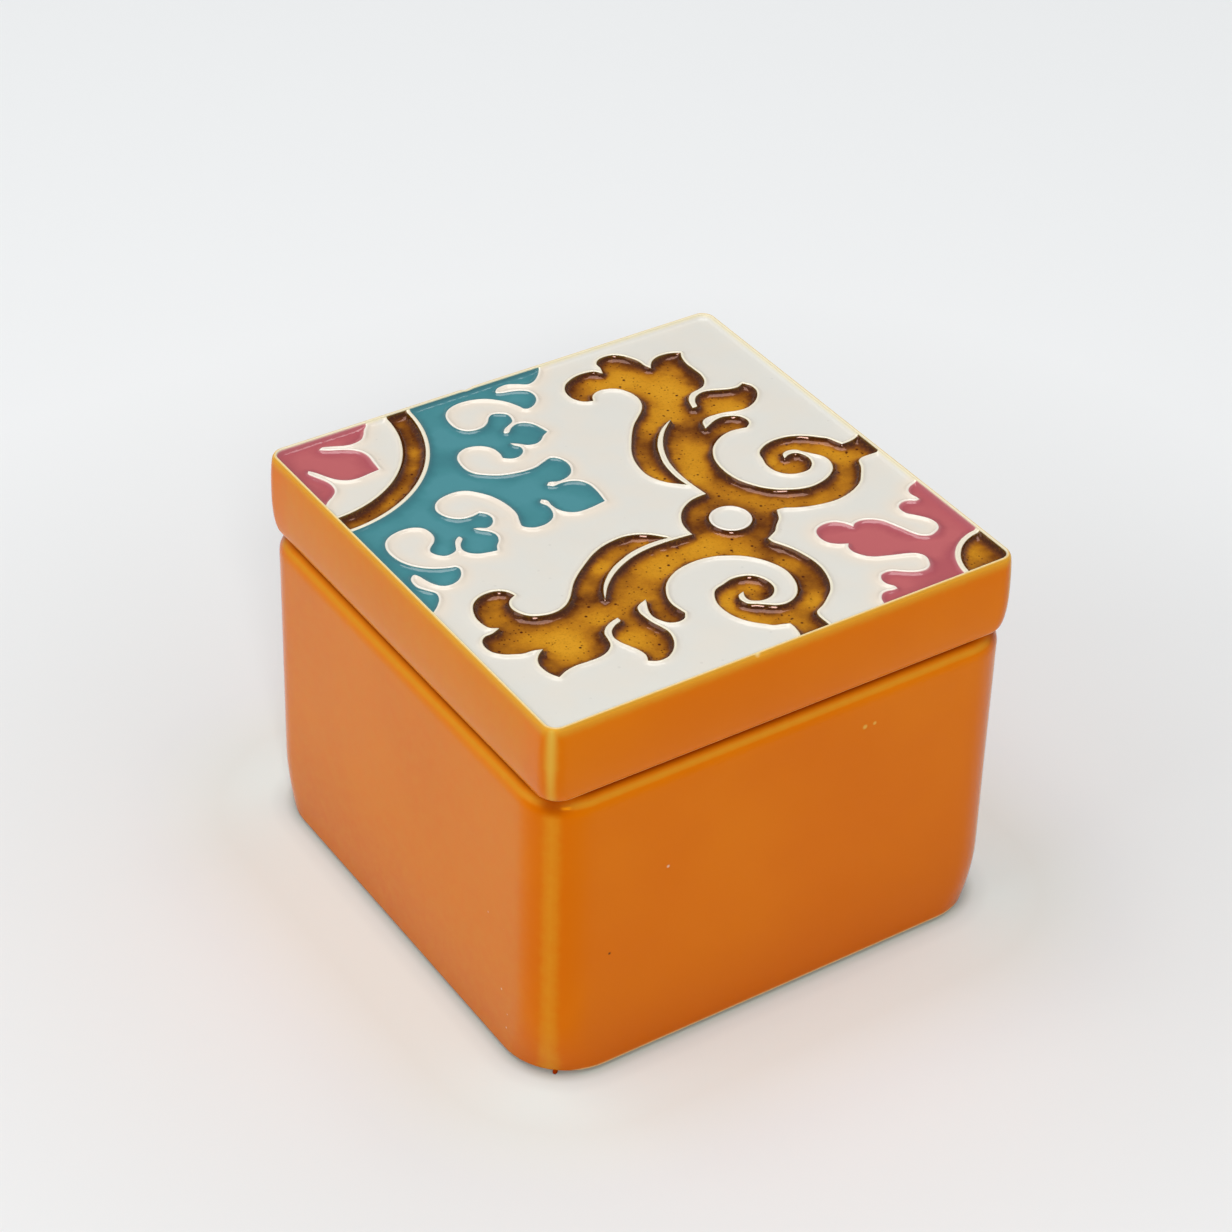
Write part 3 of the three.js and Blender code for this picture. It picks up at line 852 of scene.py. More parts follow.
@dataclass
class Ring:
    """One level of a lofted shell, with how its glaze lies, in shares from 0 to 1.

    Attributes:
        half: half its width.
        corner: radius of its corners.
        z: its height.
        thin: how thin the glaze is all round.
        bare: how much clay shows.
        corner_thin: how thin the glaze is at the corners.
        spread: degrees from the middle of a corner over which that fades.
        streak_and_highlight: how pale the glaze is along the middle of the corners, thin glaze with a painted
            highlight.
        pale: how pale it is all round, thin glaze with a painted highlight.
        painted_shade_and_drip: how much red-brown shade is painted, under the lid's edge and along the foot.
        corner_painted_shade: the same painted shade at the corners.
        front_clay_and_highlight: how much pale clay tone shows along the front, bare clay with a painted
            highlight.
    """

    half: float
    corner: float
    z: float
    thin: float = 0.0
    bare: float = 0.0
    corner_thin: float = 0.0
    spread: float = 12.0
    streak_and_highlight: float = 0.0
    pale: float = 0.0
    painted_shade_and_drip: float = 0.0
    corner_painted_shade: float = 0.0
    front_clay_and_highlight: float = 0.0


@dataclass(frozen=True)
class Chip:
    """A small place where an edge broke off."""

    place: Place
    radius: float
    pull: Place


@dataclass
class Shell:
    """A shell of rounded squares, from its first ring to its last."""

    rings: list[Ring]
    sides: int = 44
    turns: int = 14
    uneven: float = 0.0
    seed: float = 0.0
    # how much more ochre the left side is painted
    left_ochre: float = 0.0
    chips: tuple[Chip, ...] = ()
    side_angle: float = 60.0
    uneven_width: float = 34.0
    left_ease: float = 10.0
    front_ease: float = 8.0
    shade_cover: float = 0.8
    shade_full: float = 0.4
    streak_spread: float = 14.0
    streak_least: float = 3.0
    low_height: float = 36.0
    low_corner_spread: float = 36.0
    low_corner_shade: float = 0.5

    def angles(self) -> np.ndarray:
        """Give each place's angle from the middle of its corner, in degrees."""
        corner = [abs(90 * i / self.turns - 45) for i in range(self.turns + 1)]
        return np.tile([*corner, *[self.side_angle] * (self.sides - 1)], 4)

    def glaze(self, ring: Ring, flat: np.ndarray, away: np.ndarray) -> dict[str, np.ndarray]:
        """Say how the glaze lies at one level.

        Args:
            ring: the level.
            flat: its places.
            away: their angles from the middle of a corner.

        Returns:
            How thin, bare and streaked it is at each place, and how much painted shade it has.
        """
        at_corner = bell(away, 0, ring.spread)
        along_corner = bell(away, 0, self.streak_spread * ring.streak_and_highlight + self.streak_least)
        left = np.clip((-flat[:, 0] - np.abs(flat[:, 1])) / self.left_ease, 0, 1)
        front = np.clip((-flat[:, 1] - np.abs(flat[:, 0])) / self.front_ease, 0, 1)
        # painted shade at a corner hides the ochre under it
        covered = self.shade_cover * min(ring.corner_painted_shade / self.shade_full, 1)
        thin = np.maximum(self.left_ochre * left, ring.thin * (1 - covered * at_corner))
        return {
            "thin": np.maximum(thin, ring.corner_thin * at_corner),
            "bare": np.maximum(ring.bare, ring.front_clay_and_highlight * front),
            "streak_and_highlight": np.maximum(ring.pale, ring.streak_and_highlight * along_corner),
            "painted_shade_and_drip": np.maximum(ring.painted_shade_and_drip, ring.corner_painted_shade * at_corner),
        }

    def build(self, name: str, bottom_cap: bool = True, top_cap: bool = True) -> bpy.types.Object:
        """Loft the shell.

        Args:
            name: the piece's name.
            bottom_cap: whether the first ring is closed.
            top_cap: whether the last ring is closed.

        Returns:
            The new object, painted with how its glaze lies.
        """
        away = self.angles()
        rows, levels = [], []
        for ring in self.rings:
            flat = rounded_square(ring.half, ring.corner, self.sides, self.turns)
            rows.append(np.column_stack([flat, np.full(len(flat), ring.z)]))
            levels.append(self.glaze(ring, flat, away))
        vertices = np.vstack(rows)
        if self.uneven:
            pull = self.uneven / 100 * (1 + wander(vertices, self.uneven_width, self.seed))
            vertices[:, :2] *= 1 - np.clip(pull, 0, None)[:, None]
        for chip in self.chips:
            reach = np.linalg.norm(vertices - np.array(chip.place), axis=1) / chip.radius
            vertices += bell(reach, 0, 1)[:, None] * np.array(chip.pull)
        faces = loft_faces(len(away), len(rows), bottom_cap, top_cap)
        piece = make_piece(name, vertices, faces)
        for mark in levels[0]:
            paint(piece, mark, np.concatenate([level[mark] for level in levels]))
        # painted shade at the corners, and darker towards the ground
        corner_shade = np.tile(self.low_corner_shade * bell(away, 0, self.low_corner_spread), len(rows))
        by_ground = np.clip(1 - vertices[:, 2] / self.low_height, 0, 1) ** 2
        paint(piece, "low", np.maximum(by_ground, corner_shade))
        return piece


DARK_SPECK = srgb(70, 20, 0)
PALE_SPECK = srgb(240, 215, 190)
THIN_SPOT = srgb(226, 170, 70)
PINHOLE = srgb(240, 205, 160)

BODY_FLECKS = (
    Fleck((-37.98, -52.0, 27.61), 0.45, DARK_SPECK),
    Fleck((-25.8, -52.0, 42.68), 0.5, PALE_SPECK),
    Fleck((16.8, -51.8, 56.8), 0.7, THIN_SPOT),
    Fleck((19.0, -51.8, 56.8), 0.55, THIN_SPOT),
    Fleck((-52.0, -32.6, 29.5), 0.35, PINHOLE),
    Fleck((-52.0, -38.0, 29.3), 0.25, PINHOLE),
    Fleck((-52.0, -37.4, 14.4), 0.35, PINHOLE),
    Fleck((-52.0, -39.5, 9.7), 0.25, PINHOLE),
    Fleck((-52.0, -39.2, 6.2), 0.3, PINHOLE),
)


@dataclass
class BoxBody:
    """The hollow body of the box."""

    half: float = BODY_HALF
    taper: float = 0.3
    corner: float = 9.5
    height: float = SEAM
    wall: float = 5.0
    floor: float = 5.0
    shoulder: float = 4.0
    base_inset: float = 3.6
    base_rise: float = 0.9
    base_round: float = 4.5
    base_blend: float = 14.0
    mouth_inset: float = 8.5
    mouth_radius: float = 1.0
    mouth_depth: float = 4.5
    mouth_flare: float = 4.5
    mouth_lip: float = 1.2
    floor_radius: float = 5.0
    foot_width: float = 5.0
    foot_recess: float = 1.2
    wall_steps: int = 24
    edge_rise: float = 0.35
    # pale line along the front of the foot: bare clay with a painted highlight
    foot_clay_and_highlight: Point = (0.62, 0.36)
    corner_thin: float = 0.7
    corner_spread: float = 14.0
    ochre: float = 0.8
    ochre_at: float = 0.58
    ochre_width: float = 0.17
    # painted highlight along the shoulder's ochre line
    gleam: float = 0.12
    gleam_width: float = 0.14
    # painted shade under the lid's edge, on the upper shoulder and at its corners
    seam_from: float = 0.76
    seam_over: float = 0.12
    seam_shade: float = 0.9
    seam_corner_shade: float = 0.6

    def corner_at(self, z: float) -> float:
        """The walls' corner radius at a height: wider near the ground."""
        return self.corner + self.base_round * max(1 - z / self.base_blend, 0) ** 2

    def foot_rings(self, outer: float, corner: float) -> list[Ring]:
        """Lay out the hollow under the floor and the flat ring round it.

        Args:
            outer: half the width of the flat ring.
            corner: radius of its corners.

        Returns:
            The rings, from the middle outwards.
        """
        inner = outer - self.foot_width
        hollow = inner - self.foot_recess
        return [
            Ring(hollow - 30, 3, self.foot_recess),
            Ring(hollow - 3, corner - 3.5, self.foot_recess),
            Ring(hollow, corner - 2.5, self.foot_recess, thin=0.5, bare=0.4),
            Ring(inner, corner - 2.5, 0.15, thin=0.6, bare=1),
            Ring(inner + 0.4, corner - 2.3, 0, thin=0.6, bare=1),
            Ring(outer - 0.5, corner - 0.3, 0, thin=0.6, bare=1),
        ]

    def wall_rings(self, foot_outer: float, foot_corner: float) -> list[Ring]:
        """Lay out the rolled lower edge and the walls, bottom to top.

        Args:
            foot_outer: half the width at the ground.
            foot_corner: radius of the corners there.

        Returns:
            The rings.
        """
        rings = []
        # the roll's underside is bare clay, with painted shade where it meets the ground; the front gets the
        # pale line
        for slow, fast in turn(12):
            rings.append(Ring(
                foot_outer + self.base_inset * fast, foot_corner + self.base_inset / 2 * fast,
                self.base_rise * slow, bare=unit((0.5 - slow) / 0.1), corner_thin=0.6 * slow,
                spread=self.corner_spread, painted_shade_and_drip=0.75 * (1 - slow),
                front_clay_and_highlight=self.foot_clay_and_highlight[0] if slow > 0.6 else 0))
        edge_top = self.base_rise + self.edge_rise
        rings.append(Ring(
            self.half, self.corner_at(edge_top), edge_top, corner_thin=self.corner_thin,
            spread=self.corner_spread, front_clay_and_highlight=self.foot_clay_and_highlight[1]))
        for i in range(1, self.wall_steps):
            share = i / self.wall_steps
            z = self.base_rise + (self.height - self.shoulder - self.base_rise) * share
            rings.append(Ring(
                self.half - self.taper * share, self.corner_at(z), z,
                corner_thin=self.corner_thin, spread=self.corner_spread))
        return rings

    def shoulder_rings(self) -> list[Ring]:
        """Lay out the rolled shoulder, with its ochre line, a painted highlight along it and painted shade
        under the lid's edge.

        Returns:
            The rings.
        """
        # pale paints a highlight on the ochre line; crevice and corner_painted_shade paint the shade under
        # the lid
        return [
            Ring(
                self.half - self.taper - self.shoulder * slow, self.corner,
                self.height - self.shoulder + self.shoulder * fast,
                thin=self.ochre * bell(fast, self.ochre_at, self.ochre_width),
                corner_thin=self.corner_thin * max(1 - fast / 0.5, 0) ** 0.5, spread=self.corner_spread,
                pale=self.gleam * bell(fast, self.ochre_at, self.gleam_width),
                painted_shade_and_drip=self.seam_shade * unit((fast - self.seam_from) / self.seam_over),
                corner_painted_shade=self.seam_corner_shade * min(fast / 0.5, 1))
            for slow, fast in turn(12)
        ]

    def inner_rings(self) -> list[Ring]:
        """Lay out the mouth, the inner walls and the floor, top to bottom.

        Returns:
            The rings.
        """
        mouth = self.half - self.mouth_inset
        corner = self.corner - self.wall
        cavity = self.half - self.wall
        cavity_floor = self.foot_recess + self.floor
        rings = []
        for slow, fast in turn(6):
            inset = self.mouth_radius * (1 - fast)
            z = self.height - self.mouth_radius * slow
            rings.append(Ring(mouth + inset, corner + inset, z, thin=0.5))
        mouth_low = self.height - self.mouth_depth
        rings.append(Ring(mouth, corner, mouth_low + self.mouth_lip, thin=0.1))
        for slow, fast in turn(8):
            rings.append(Ring(
                mouth + (cavity - mouth) * fast, corner, mouth_low - self.mouth_flare * slow,
                thin=0.15 * (1 - slow)))
        top, low = mouth_low - self.mouth_flare, cavity_floor + self.floor_radius
        rings += [Ring(cavity, corner, top + (low - top) * i / 12) for i in range(1, 12)]
        for slow, fast in turn(8):
            inset, drop = self.floor_radius * slow, self.floor_radius * fast
            rings.append(Ring(cavity - inset, corner - 2 * slow, low - drop))
        return [*rings, Ring(cavity - self.floor_radius - 12, 3, cavity_floor), Ring(8, 3, cavity_floor)]

    def rings(self) -> list[Ring]:
        """Lay out the shell from the middle of the foot, up outside and down inside."""
        foot = (self.half - self.base_inset, self.corner_at(self.base_rise) - self.base_inset / 2)
        return [*self.foot_rings(*foot), *self.wall_rings(*foot), *self.shoulder_rings(), *self.inner_rings()]

    def dress(self) -> bpy.types.Object:
        """Build the body and give it its glaze.

        Returns:
            The finished piece.
        """
        piece = Shell(self.rings(), uneven=0.12, seed=3.0, left_ochre=0.42).build("box_body_shell")
        piece.data.materials.append(DippedGlaze("orange_body_glaze", BODY_FLECKS).material())
        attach(piece, Body.BOX.value)
        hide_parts("box_body")
        return piece


@dataclass
class GlazeDrip:
    """A drip of glaze that set under the front corner of the body."""

    place: Point = (-47.2, -48.7)
    radius: float = 0.6
    height: float = 1.0
    clear: float = 0.02
    lean: float = 0.15
    squash: float = 0.8
    swell: Point = (0.15, 0.75)
    fullness: float = 0.7
    slimming: float = 0.3
    around: int = 16
    levels: int = 8

    def dress(self) -> bpy.types.Object:
        """Build the drip, widest near the ground and slim where it left the edge.

        Returns:
            The finished piece.
        """
        rows = []
        for level in range(self.levels + 1):
            share = level / self.levels
            swollen = math.sin(math.pi * (self.swell[0] + self.swell[1] * share)) ** self.fullness
            reach = self.radius * swollen * (1 - self.slimming * share)
            for i in range(self.around):
                angle = 2 * math.pi * i / self.around
                x = self.place[0] + self.lean * share + reach * math.cos(angle)
                y = self.place[1] + self.lean * share + self.squash * reach * math.sin(angle)
                rows.append((x, y, self.clear + (self.height - self.clear) * share))
        faces = loft_faces(self.around, self.levels + 1, True, True)
        piece = make_piece("glaze_drip", np.array(rows), faces)
        for name in ("thin", "bare", "streak_and_highlight", "low"):
            paint(piece, name, np.zeros(len(rows)))
        # the drip's own dark red-brown glaze, in the colour that elsewhere paints shade
        paint(piece, "painted_shade_and_drip", np.ones(len(rows)))
        piece.data.materials.append(DippedGlaze("orange_drip_glaze").material())
        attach(piece, Body.BOX.value)
        return piece


EDGE_CHIPS = (
    Chip((-7.3, -50.2, 81.9), 0.9, (0.0, 0.22, -0.3)),
    Chip((-6.6, 50.2, 81.9), 0.8, (0.0, -0.2, -0.25)),
)
CHIPPED = srgb(240, 214, 150)
CHIP_FLECKS = tuple(Fleck(chip.place, 0.85, CHIPPED) for chip in EDGE_CHIPS)


@dataclass
class LidShell:
    """The lid's sides, its hollow and the flange under it."""

    seam: float = SEAM
    top: float = LID_TOP
    half: float = LID_HALF
    top_corner: float = LID_CORNER
    side_corner: float = 3.8
    bulge: float = 0.95
    bulge_drop: float = 9.0
    bulge_side: float = 0.8
    lower_corner: float = 4.5
    lower_inset: float = 0.75
    edge_radius: float = 0.3
    upper_edge: float = 0.5
    wall: float = 6.0
    hollow_top: float = 75.0
    hollow_radius: float = 2.5
    inner_corner: float = 3.5
    flange_outer: float = 42.5
    flange_corner: float = 4.5
    flange_width: float = 3.5
    flange_depth: float = 5.0
    flange_radius: float = 0.8
    split_inset: float = SPLIT_INSET
    plate_top: float = 79.4
    ochre_drop: float = 2.1
    gleam_drop: float = 1.2

    @property
    def widest(self) -> Point:
        """Half the width where the side swells most, and the height of that place."""
        return self.half + self.bulge, self.top - self.bulge_drop

    def hollow_rings(self) -> list[Ring]:
        """Lay out the hollow, from the middle of its top down to the flange.

        Returns:
            The rings.
        """
        hollow = self.half - self.wall
        rings = [Ring(6, 3, self.hollow_top), Ring(hollow - 12, self.inner_corner, self.hollow_top)]
        for slow, fast in turn(8):
            rings.append(Ring(
                hollow - self.hollow_radius * (1 - fast), self.inner_corner,
                self.hollow_top - self.hollow_radius * slow))
        return [*rings, Ring(hollow, self.inner_corner, self.seam + self.hollow_radius)]

    def flange_rings(self) -> list[Ring]:
        """Lay out the flange, down its inside and up its outside, and the seat beside it.

        Returns:
            The rings.
        """
        inner = self.flange_outer - self.flange_width
        tip = self.seam - self.flange_depth
        rings = [
            Ring(inner, self.inner_corner, self.seam - self.flange_radius, thin=0.2),
            Ring(inner, self.inner_corner, tip + self.flange_radius, thin=0.4, bare=0.2),
        ]
        for slow, fast in turn(5):
            rings.append(Ring(
                inner + self.flange_radius * slow, self.inner_corner + 0.2 * slow,
                tip + self.flange_radius * (1 - fast), thin=0.6, bare=0.5 + 0.5 * slow))
        for slow, fast in turn(5):
            inset = self.flange_radius * (1 - fast)
            rings.append(Ring(
                self.flange_outer - inset, self.flange_corner - 0.8 * (1 - fast),
                tip + self.flange_radius * slow, thin=0.6, bare=1))
        seat = self.widest[0] - self.lower_inset - self.edge_radius - 0.6
        return [
            *rings,
            Ring(self.flange_outer, self.flange_corner, self.seam - 0.4, thin=0.6, bare=1),
            Ring(self.flange_outer + 0.4, self.flange_corner, self.seam, thin=0.6, bare=1),
            Ring(seat, self.lower_corner - 0.5, self.seam, thin=0.6, bare=0.8),
        ]

    def lower_rings(self) -> list[Ring]:
        """Lay out the lower edge, with a painted highlight in clay tone above and painted shade below, and
        the side up to its widest.

        Returns:
            The rings.
        """
        half, z = self.widest
        lower, low = half - self.lower_inset, self.seam + self.edge_radius
        rings = []
        # painted highlight in clay tone along the edge, painted shade on its underside
        for slow, fast in turn(6):
            rings.append(Ring(
                lower - self.edge_radius * (1 - fast), self.lower_corner - 0.3 * (1 - fast),
                self.seam + self.edge_radius * slow, thin=0.3 * (1 - slow), bare=0.56 * slow,
                corner_thin=0.5, spread=18, streak_and_highlight=0.3, painted_shade_and_drip=0.8 * (1 - slow)))
        # the painted highlight in clay tone fades out just above the edge
        for slow, fast in turn(12)[1:]:
            rings.append(Ring(
                lower + self.lower_inset * fast,
                self.lower_corner + (self.side_corner - self.lower_corner) * fast, low + (z - low) * slow,
                bare=max(0.58 - 6 * slow, 0), corner_thin=0.75, spread=20, streak_and_highlight=0.3 + 0.35 * slow))
        return rings

    def upper_rings(self) -> list[Ring]:
        """Lay out the side above its widest and the ochre upper edge.

        Returns:
            The rings.
        """
        half, low = self.widest
        side = half - self.bulge * self.bulge_side
        rings = []
        # streak paints a highlight down the corners; pale near the top is a painted highlight on the ochre
        # band
        for slow, fast in turn(22)[1:]:
            z = low + (self.bulge_drop - self.upper_edge) * fast
            below = self.top - z
            rings.append(Ring(
                half - self.bulge * self.bulge_side * slow,
                self.side_corner + (self.top_corner - self.side_corner) * slow, z,
                thin=0.9 * bell(below, 0, self.ochre_drop), corner_thin=0.85, spread=25,
                streak_and_highlight=0.65 + 0.25 * slow, pale=0.28 * bell(below, 0, self.gleam_drop)))
        for slow, fast in turn(6)[1:]:
            rings.append(Ring(
                side - (side - self.half + self.split_inset) * slow, self.top_corner,
                self.top - self.upper_edge * (1 - fast), thin=0.95, bare=1.1 * slow,
                corner_thin=0.9, spread=25, streak_and_highlight=0.9 * (1 - slow), pale=0.45))
        return [
            *rings,
            Ring(self.half - self.split_inset, self.top_corner, self.plate_top),
            Ring(self.half - 12, self.top_corner, self.plate_top),
            Ring(6, 3, self.plate_top),
        ]

    def dress(self) -> bpy.types.Object:
        """Build the shell from the top of the hollow, down inside and up outside.

        Returns:
            The finished piece.
        """
        rings = [*self.hollow_rings(), *self.flange_rings(), *self.lower_rings(), *self.upper_rings()]
        shell = Shell(rings, sides=110, turns=12, uneven=0.06, seed=8.0, left_ochre=0.5, chips=EDGE_CHIPS)
        piece = shell.build("lid_shell")
        piece.data.materials.append(DippedGlaze("orange_lid_glaze", CHIP_FLECKS).material())
        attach(piece, Body.LID.value)
        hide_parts("lid")
        return piece


# The relief on the lid


class Outlines:
    """Distances from places on the lid's face to the edges of its cells."""

    def __init__(self, lines: list[np.ndarray]) -> None:
        """Index closed lines.

        Args:
            lines: the lines, each with one place per row.
        """
        self.points = np.vstack(lines)
        starts = np.cumsum([0, *(len(line) for line in lines)])
        self.before = np.concatenate([np.roll(np.arange(a, b), 1) for a, b in zip(starts, starts[1:])])
        self.after = np.concatenate([np.roll(np.arange(a, b), -1) for a, b in zip(starts, starts[1:])])
        self.tree = KDTree(len(self.points))
        for i, (x, y) in enumerate(self.points.tolist()):
            self.tree.insert((x, y, 0), i)
        self.tree.balance()

    def away(self, places: np.ndarray) -> np.ndarray:
        """Find the way from the nearest line.

        Args:
            places: one per row.

        Returns:
            What leads from the line to each place, one per row.
        """
        nearest = np.array([self.tree.find((x, y, 0))[1] for x, y in places.tolist()], int)
        best = np.full((len(places), 2), np.inf)
        for other in (self.before, self.after):
            a, b = self.points[nearest], self.points[other[nearest]]
            along = b - a
            length = np.maximum((along**2).sum(axis=1), 1e-12)
            share = np.clip(((places - a) * along).sum(axis=1) / length, 0, 1)
            way = places - a - along * share[:, None]
            closer = np.linalg.norm(way, axis=1) < np.linalg.norm(best, axis=1)
            best = np.where(closer[:, None], way, best)
        return best

    def distance(self, places: np.ndarray) -> np.ndarray:
        """Measure the distance to the nearest line."""
        return np.linalg.norm(self.away(places), axis=1)


@dataclass(frozen=True)
class Waver:
    """Slow random unevenness over the face: how high, how wide, and which pattern."""

    height: float
    width: float
    seed: float

    def at(self, flat: np.ndarray) -> np.ndarray:
        """Give it at places on the face."""
        return self.height * wander(flat, self.width, self.seed)


@dataclass(frozen=True)
class PoolForm:
    """How the glaze in a cell sinks from its edge to its floor."""

    depth: float
    wall_reach: float = 0.1
    wall_share: float = 0.14
    slope_reach: float = 0.95
    pool_reach: float = 2.0
    uneven: Waver = Waver(0.04, 3.5, 11.0)
    rough: Waver = Waver(0.0, 1.2, 23.0)

    def sunk(self, distance: np.ndarray) -> tuple[np.ndarray, np.ndarray]:
        """Give how far the glaze has sunk at a distance from the edge.

        Args:
            distance: the distances in millimetres.

        Returns:
            The share of the depth, and the share of the gentle slope alone.
        """
        steep = 1 - np.exp(-distance / self.wall_reach)
        bend = np.clip(distance - self.slope_reach, 0, self.pool_reach - self.slope_reach)
        along = np.minimum(distance, self.pool_reach) - bend**2 / (2 * (self.pool_reach - self.slope_reach))
        gentle = along / ((self.slope_reach + self.pool_reach) / 2)
        return self.wall_share * steep + (1 - self.wall_share) * gentle, gentle


@dataclass
class Cell:
    """One sunk cell of the relief and the glaze that fills it."""

    node: str
    outline: list[OutlinePoint]
    glaze: PooledGlaze
    form: PoolForm
    hole: list[OutlinePoint] = field(default_factory=list)


@dataclass(frozen=True)
class Easing:
    """Smoothing of a pool, away from its edge: where it starts, over what width, and how often."""

    start: float
    width: float
    rounds: int
    most: float = 0.6

    def smooth(self, values: np.ndarray, triangles: np.ndarray, distance: np.ndarray) -> np.ndarray:
        """Smooth values over a pool, such as its depth where its slopes meet in a crease.

        Args:
            values: one or more for each place.
            triangles: the triangles of the pool.
            distance: each place's distance to the cell's edge.

        Returns:
            The new values.
        """
        share = np.clip((distance - self.start) / self.width, 0, self.most)
        if values.ndim > 1:
            share = share[:, None]
        pairs = triangle_edges(triangles)
        for _ in range(self.rounds):
            total, count = np.zeros(values.shape), np.zeros(values.shape)
            for near, far in (pairs.T, pairs.T[::-1]):
                np.add.at(total, near, values[far])
                np.add.at(count, near, 1)
            mean = total / np.maximum(count, 1)
            values = np.where(count > 0, values + share * (mean - values), values)
        return values


def triangle_edges(triangles: np.ndarray) -> np.ndarray:
    """List the edges of triangles, each as its two vertex numbers."""
    return np.vstack([triangles[:, [0, 1]], triangles[:, [1, 2]], triangles[:, [2, 0]]])


def border_loops(triangles: np.ndarray) -> list[list[int]]:
    """Follow the borders of a patch of triangles.

    Args:
        triangles: their vertex numbers.

    Returns:
        The vertex numbers along each closed border.
    """
    pairs = {(a, b) for a, b in triangle_edges(triangles).tolist()}
    border = {a: b for a, b in pairs if (b, a) not in pairs}
    loops: list[list[int]] = []
    while border:
        start, at = border.popitem()
        loop = [start]
        while at != start:
            loop.append(at)
            at = border.pop(at)
        loops.append(loop)
    return loops


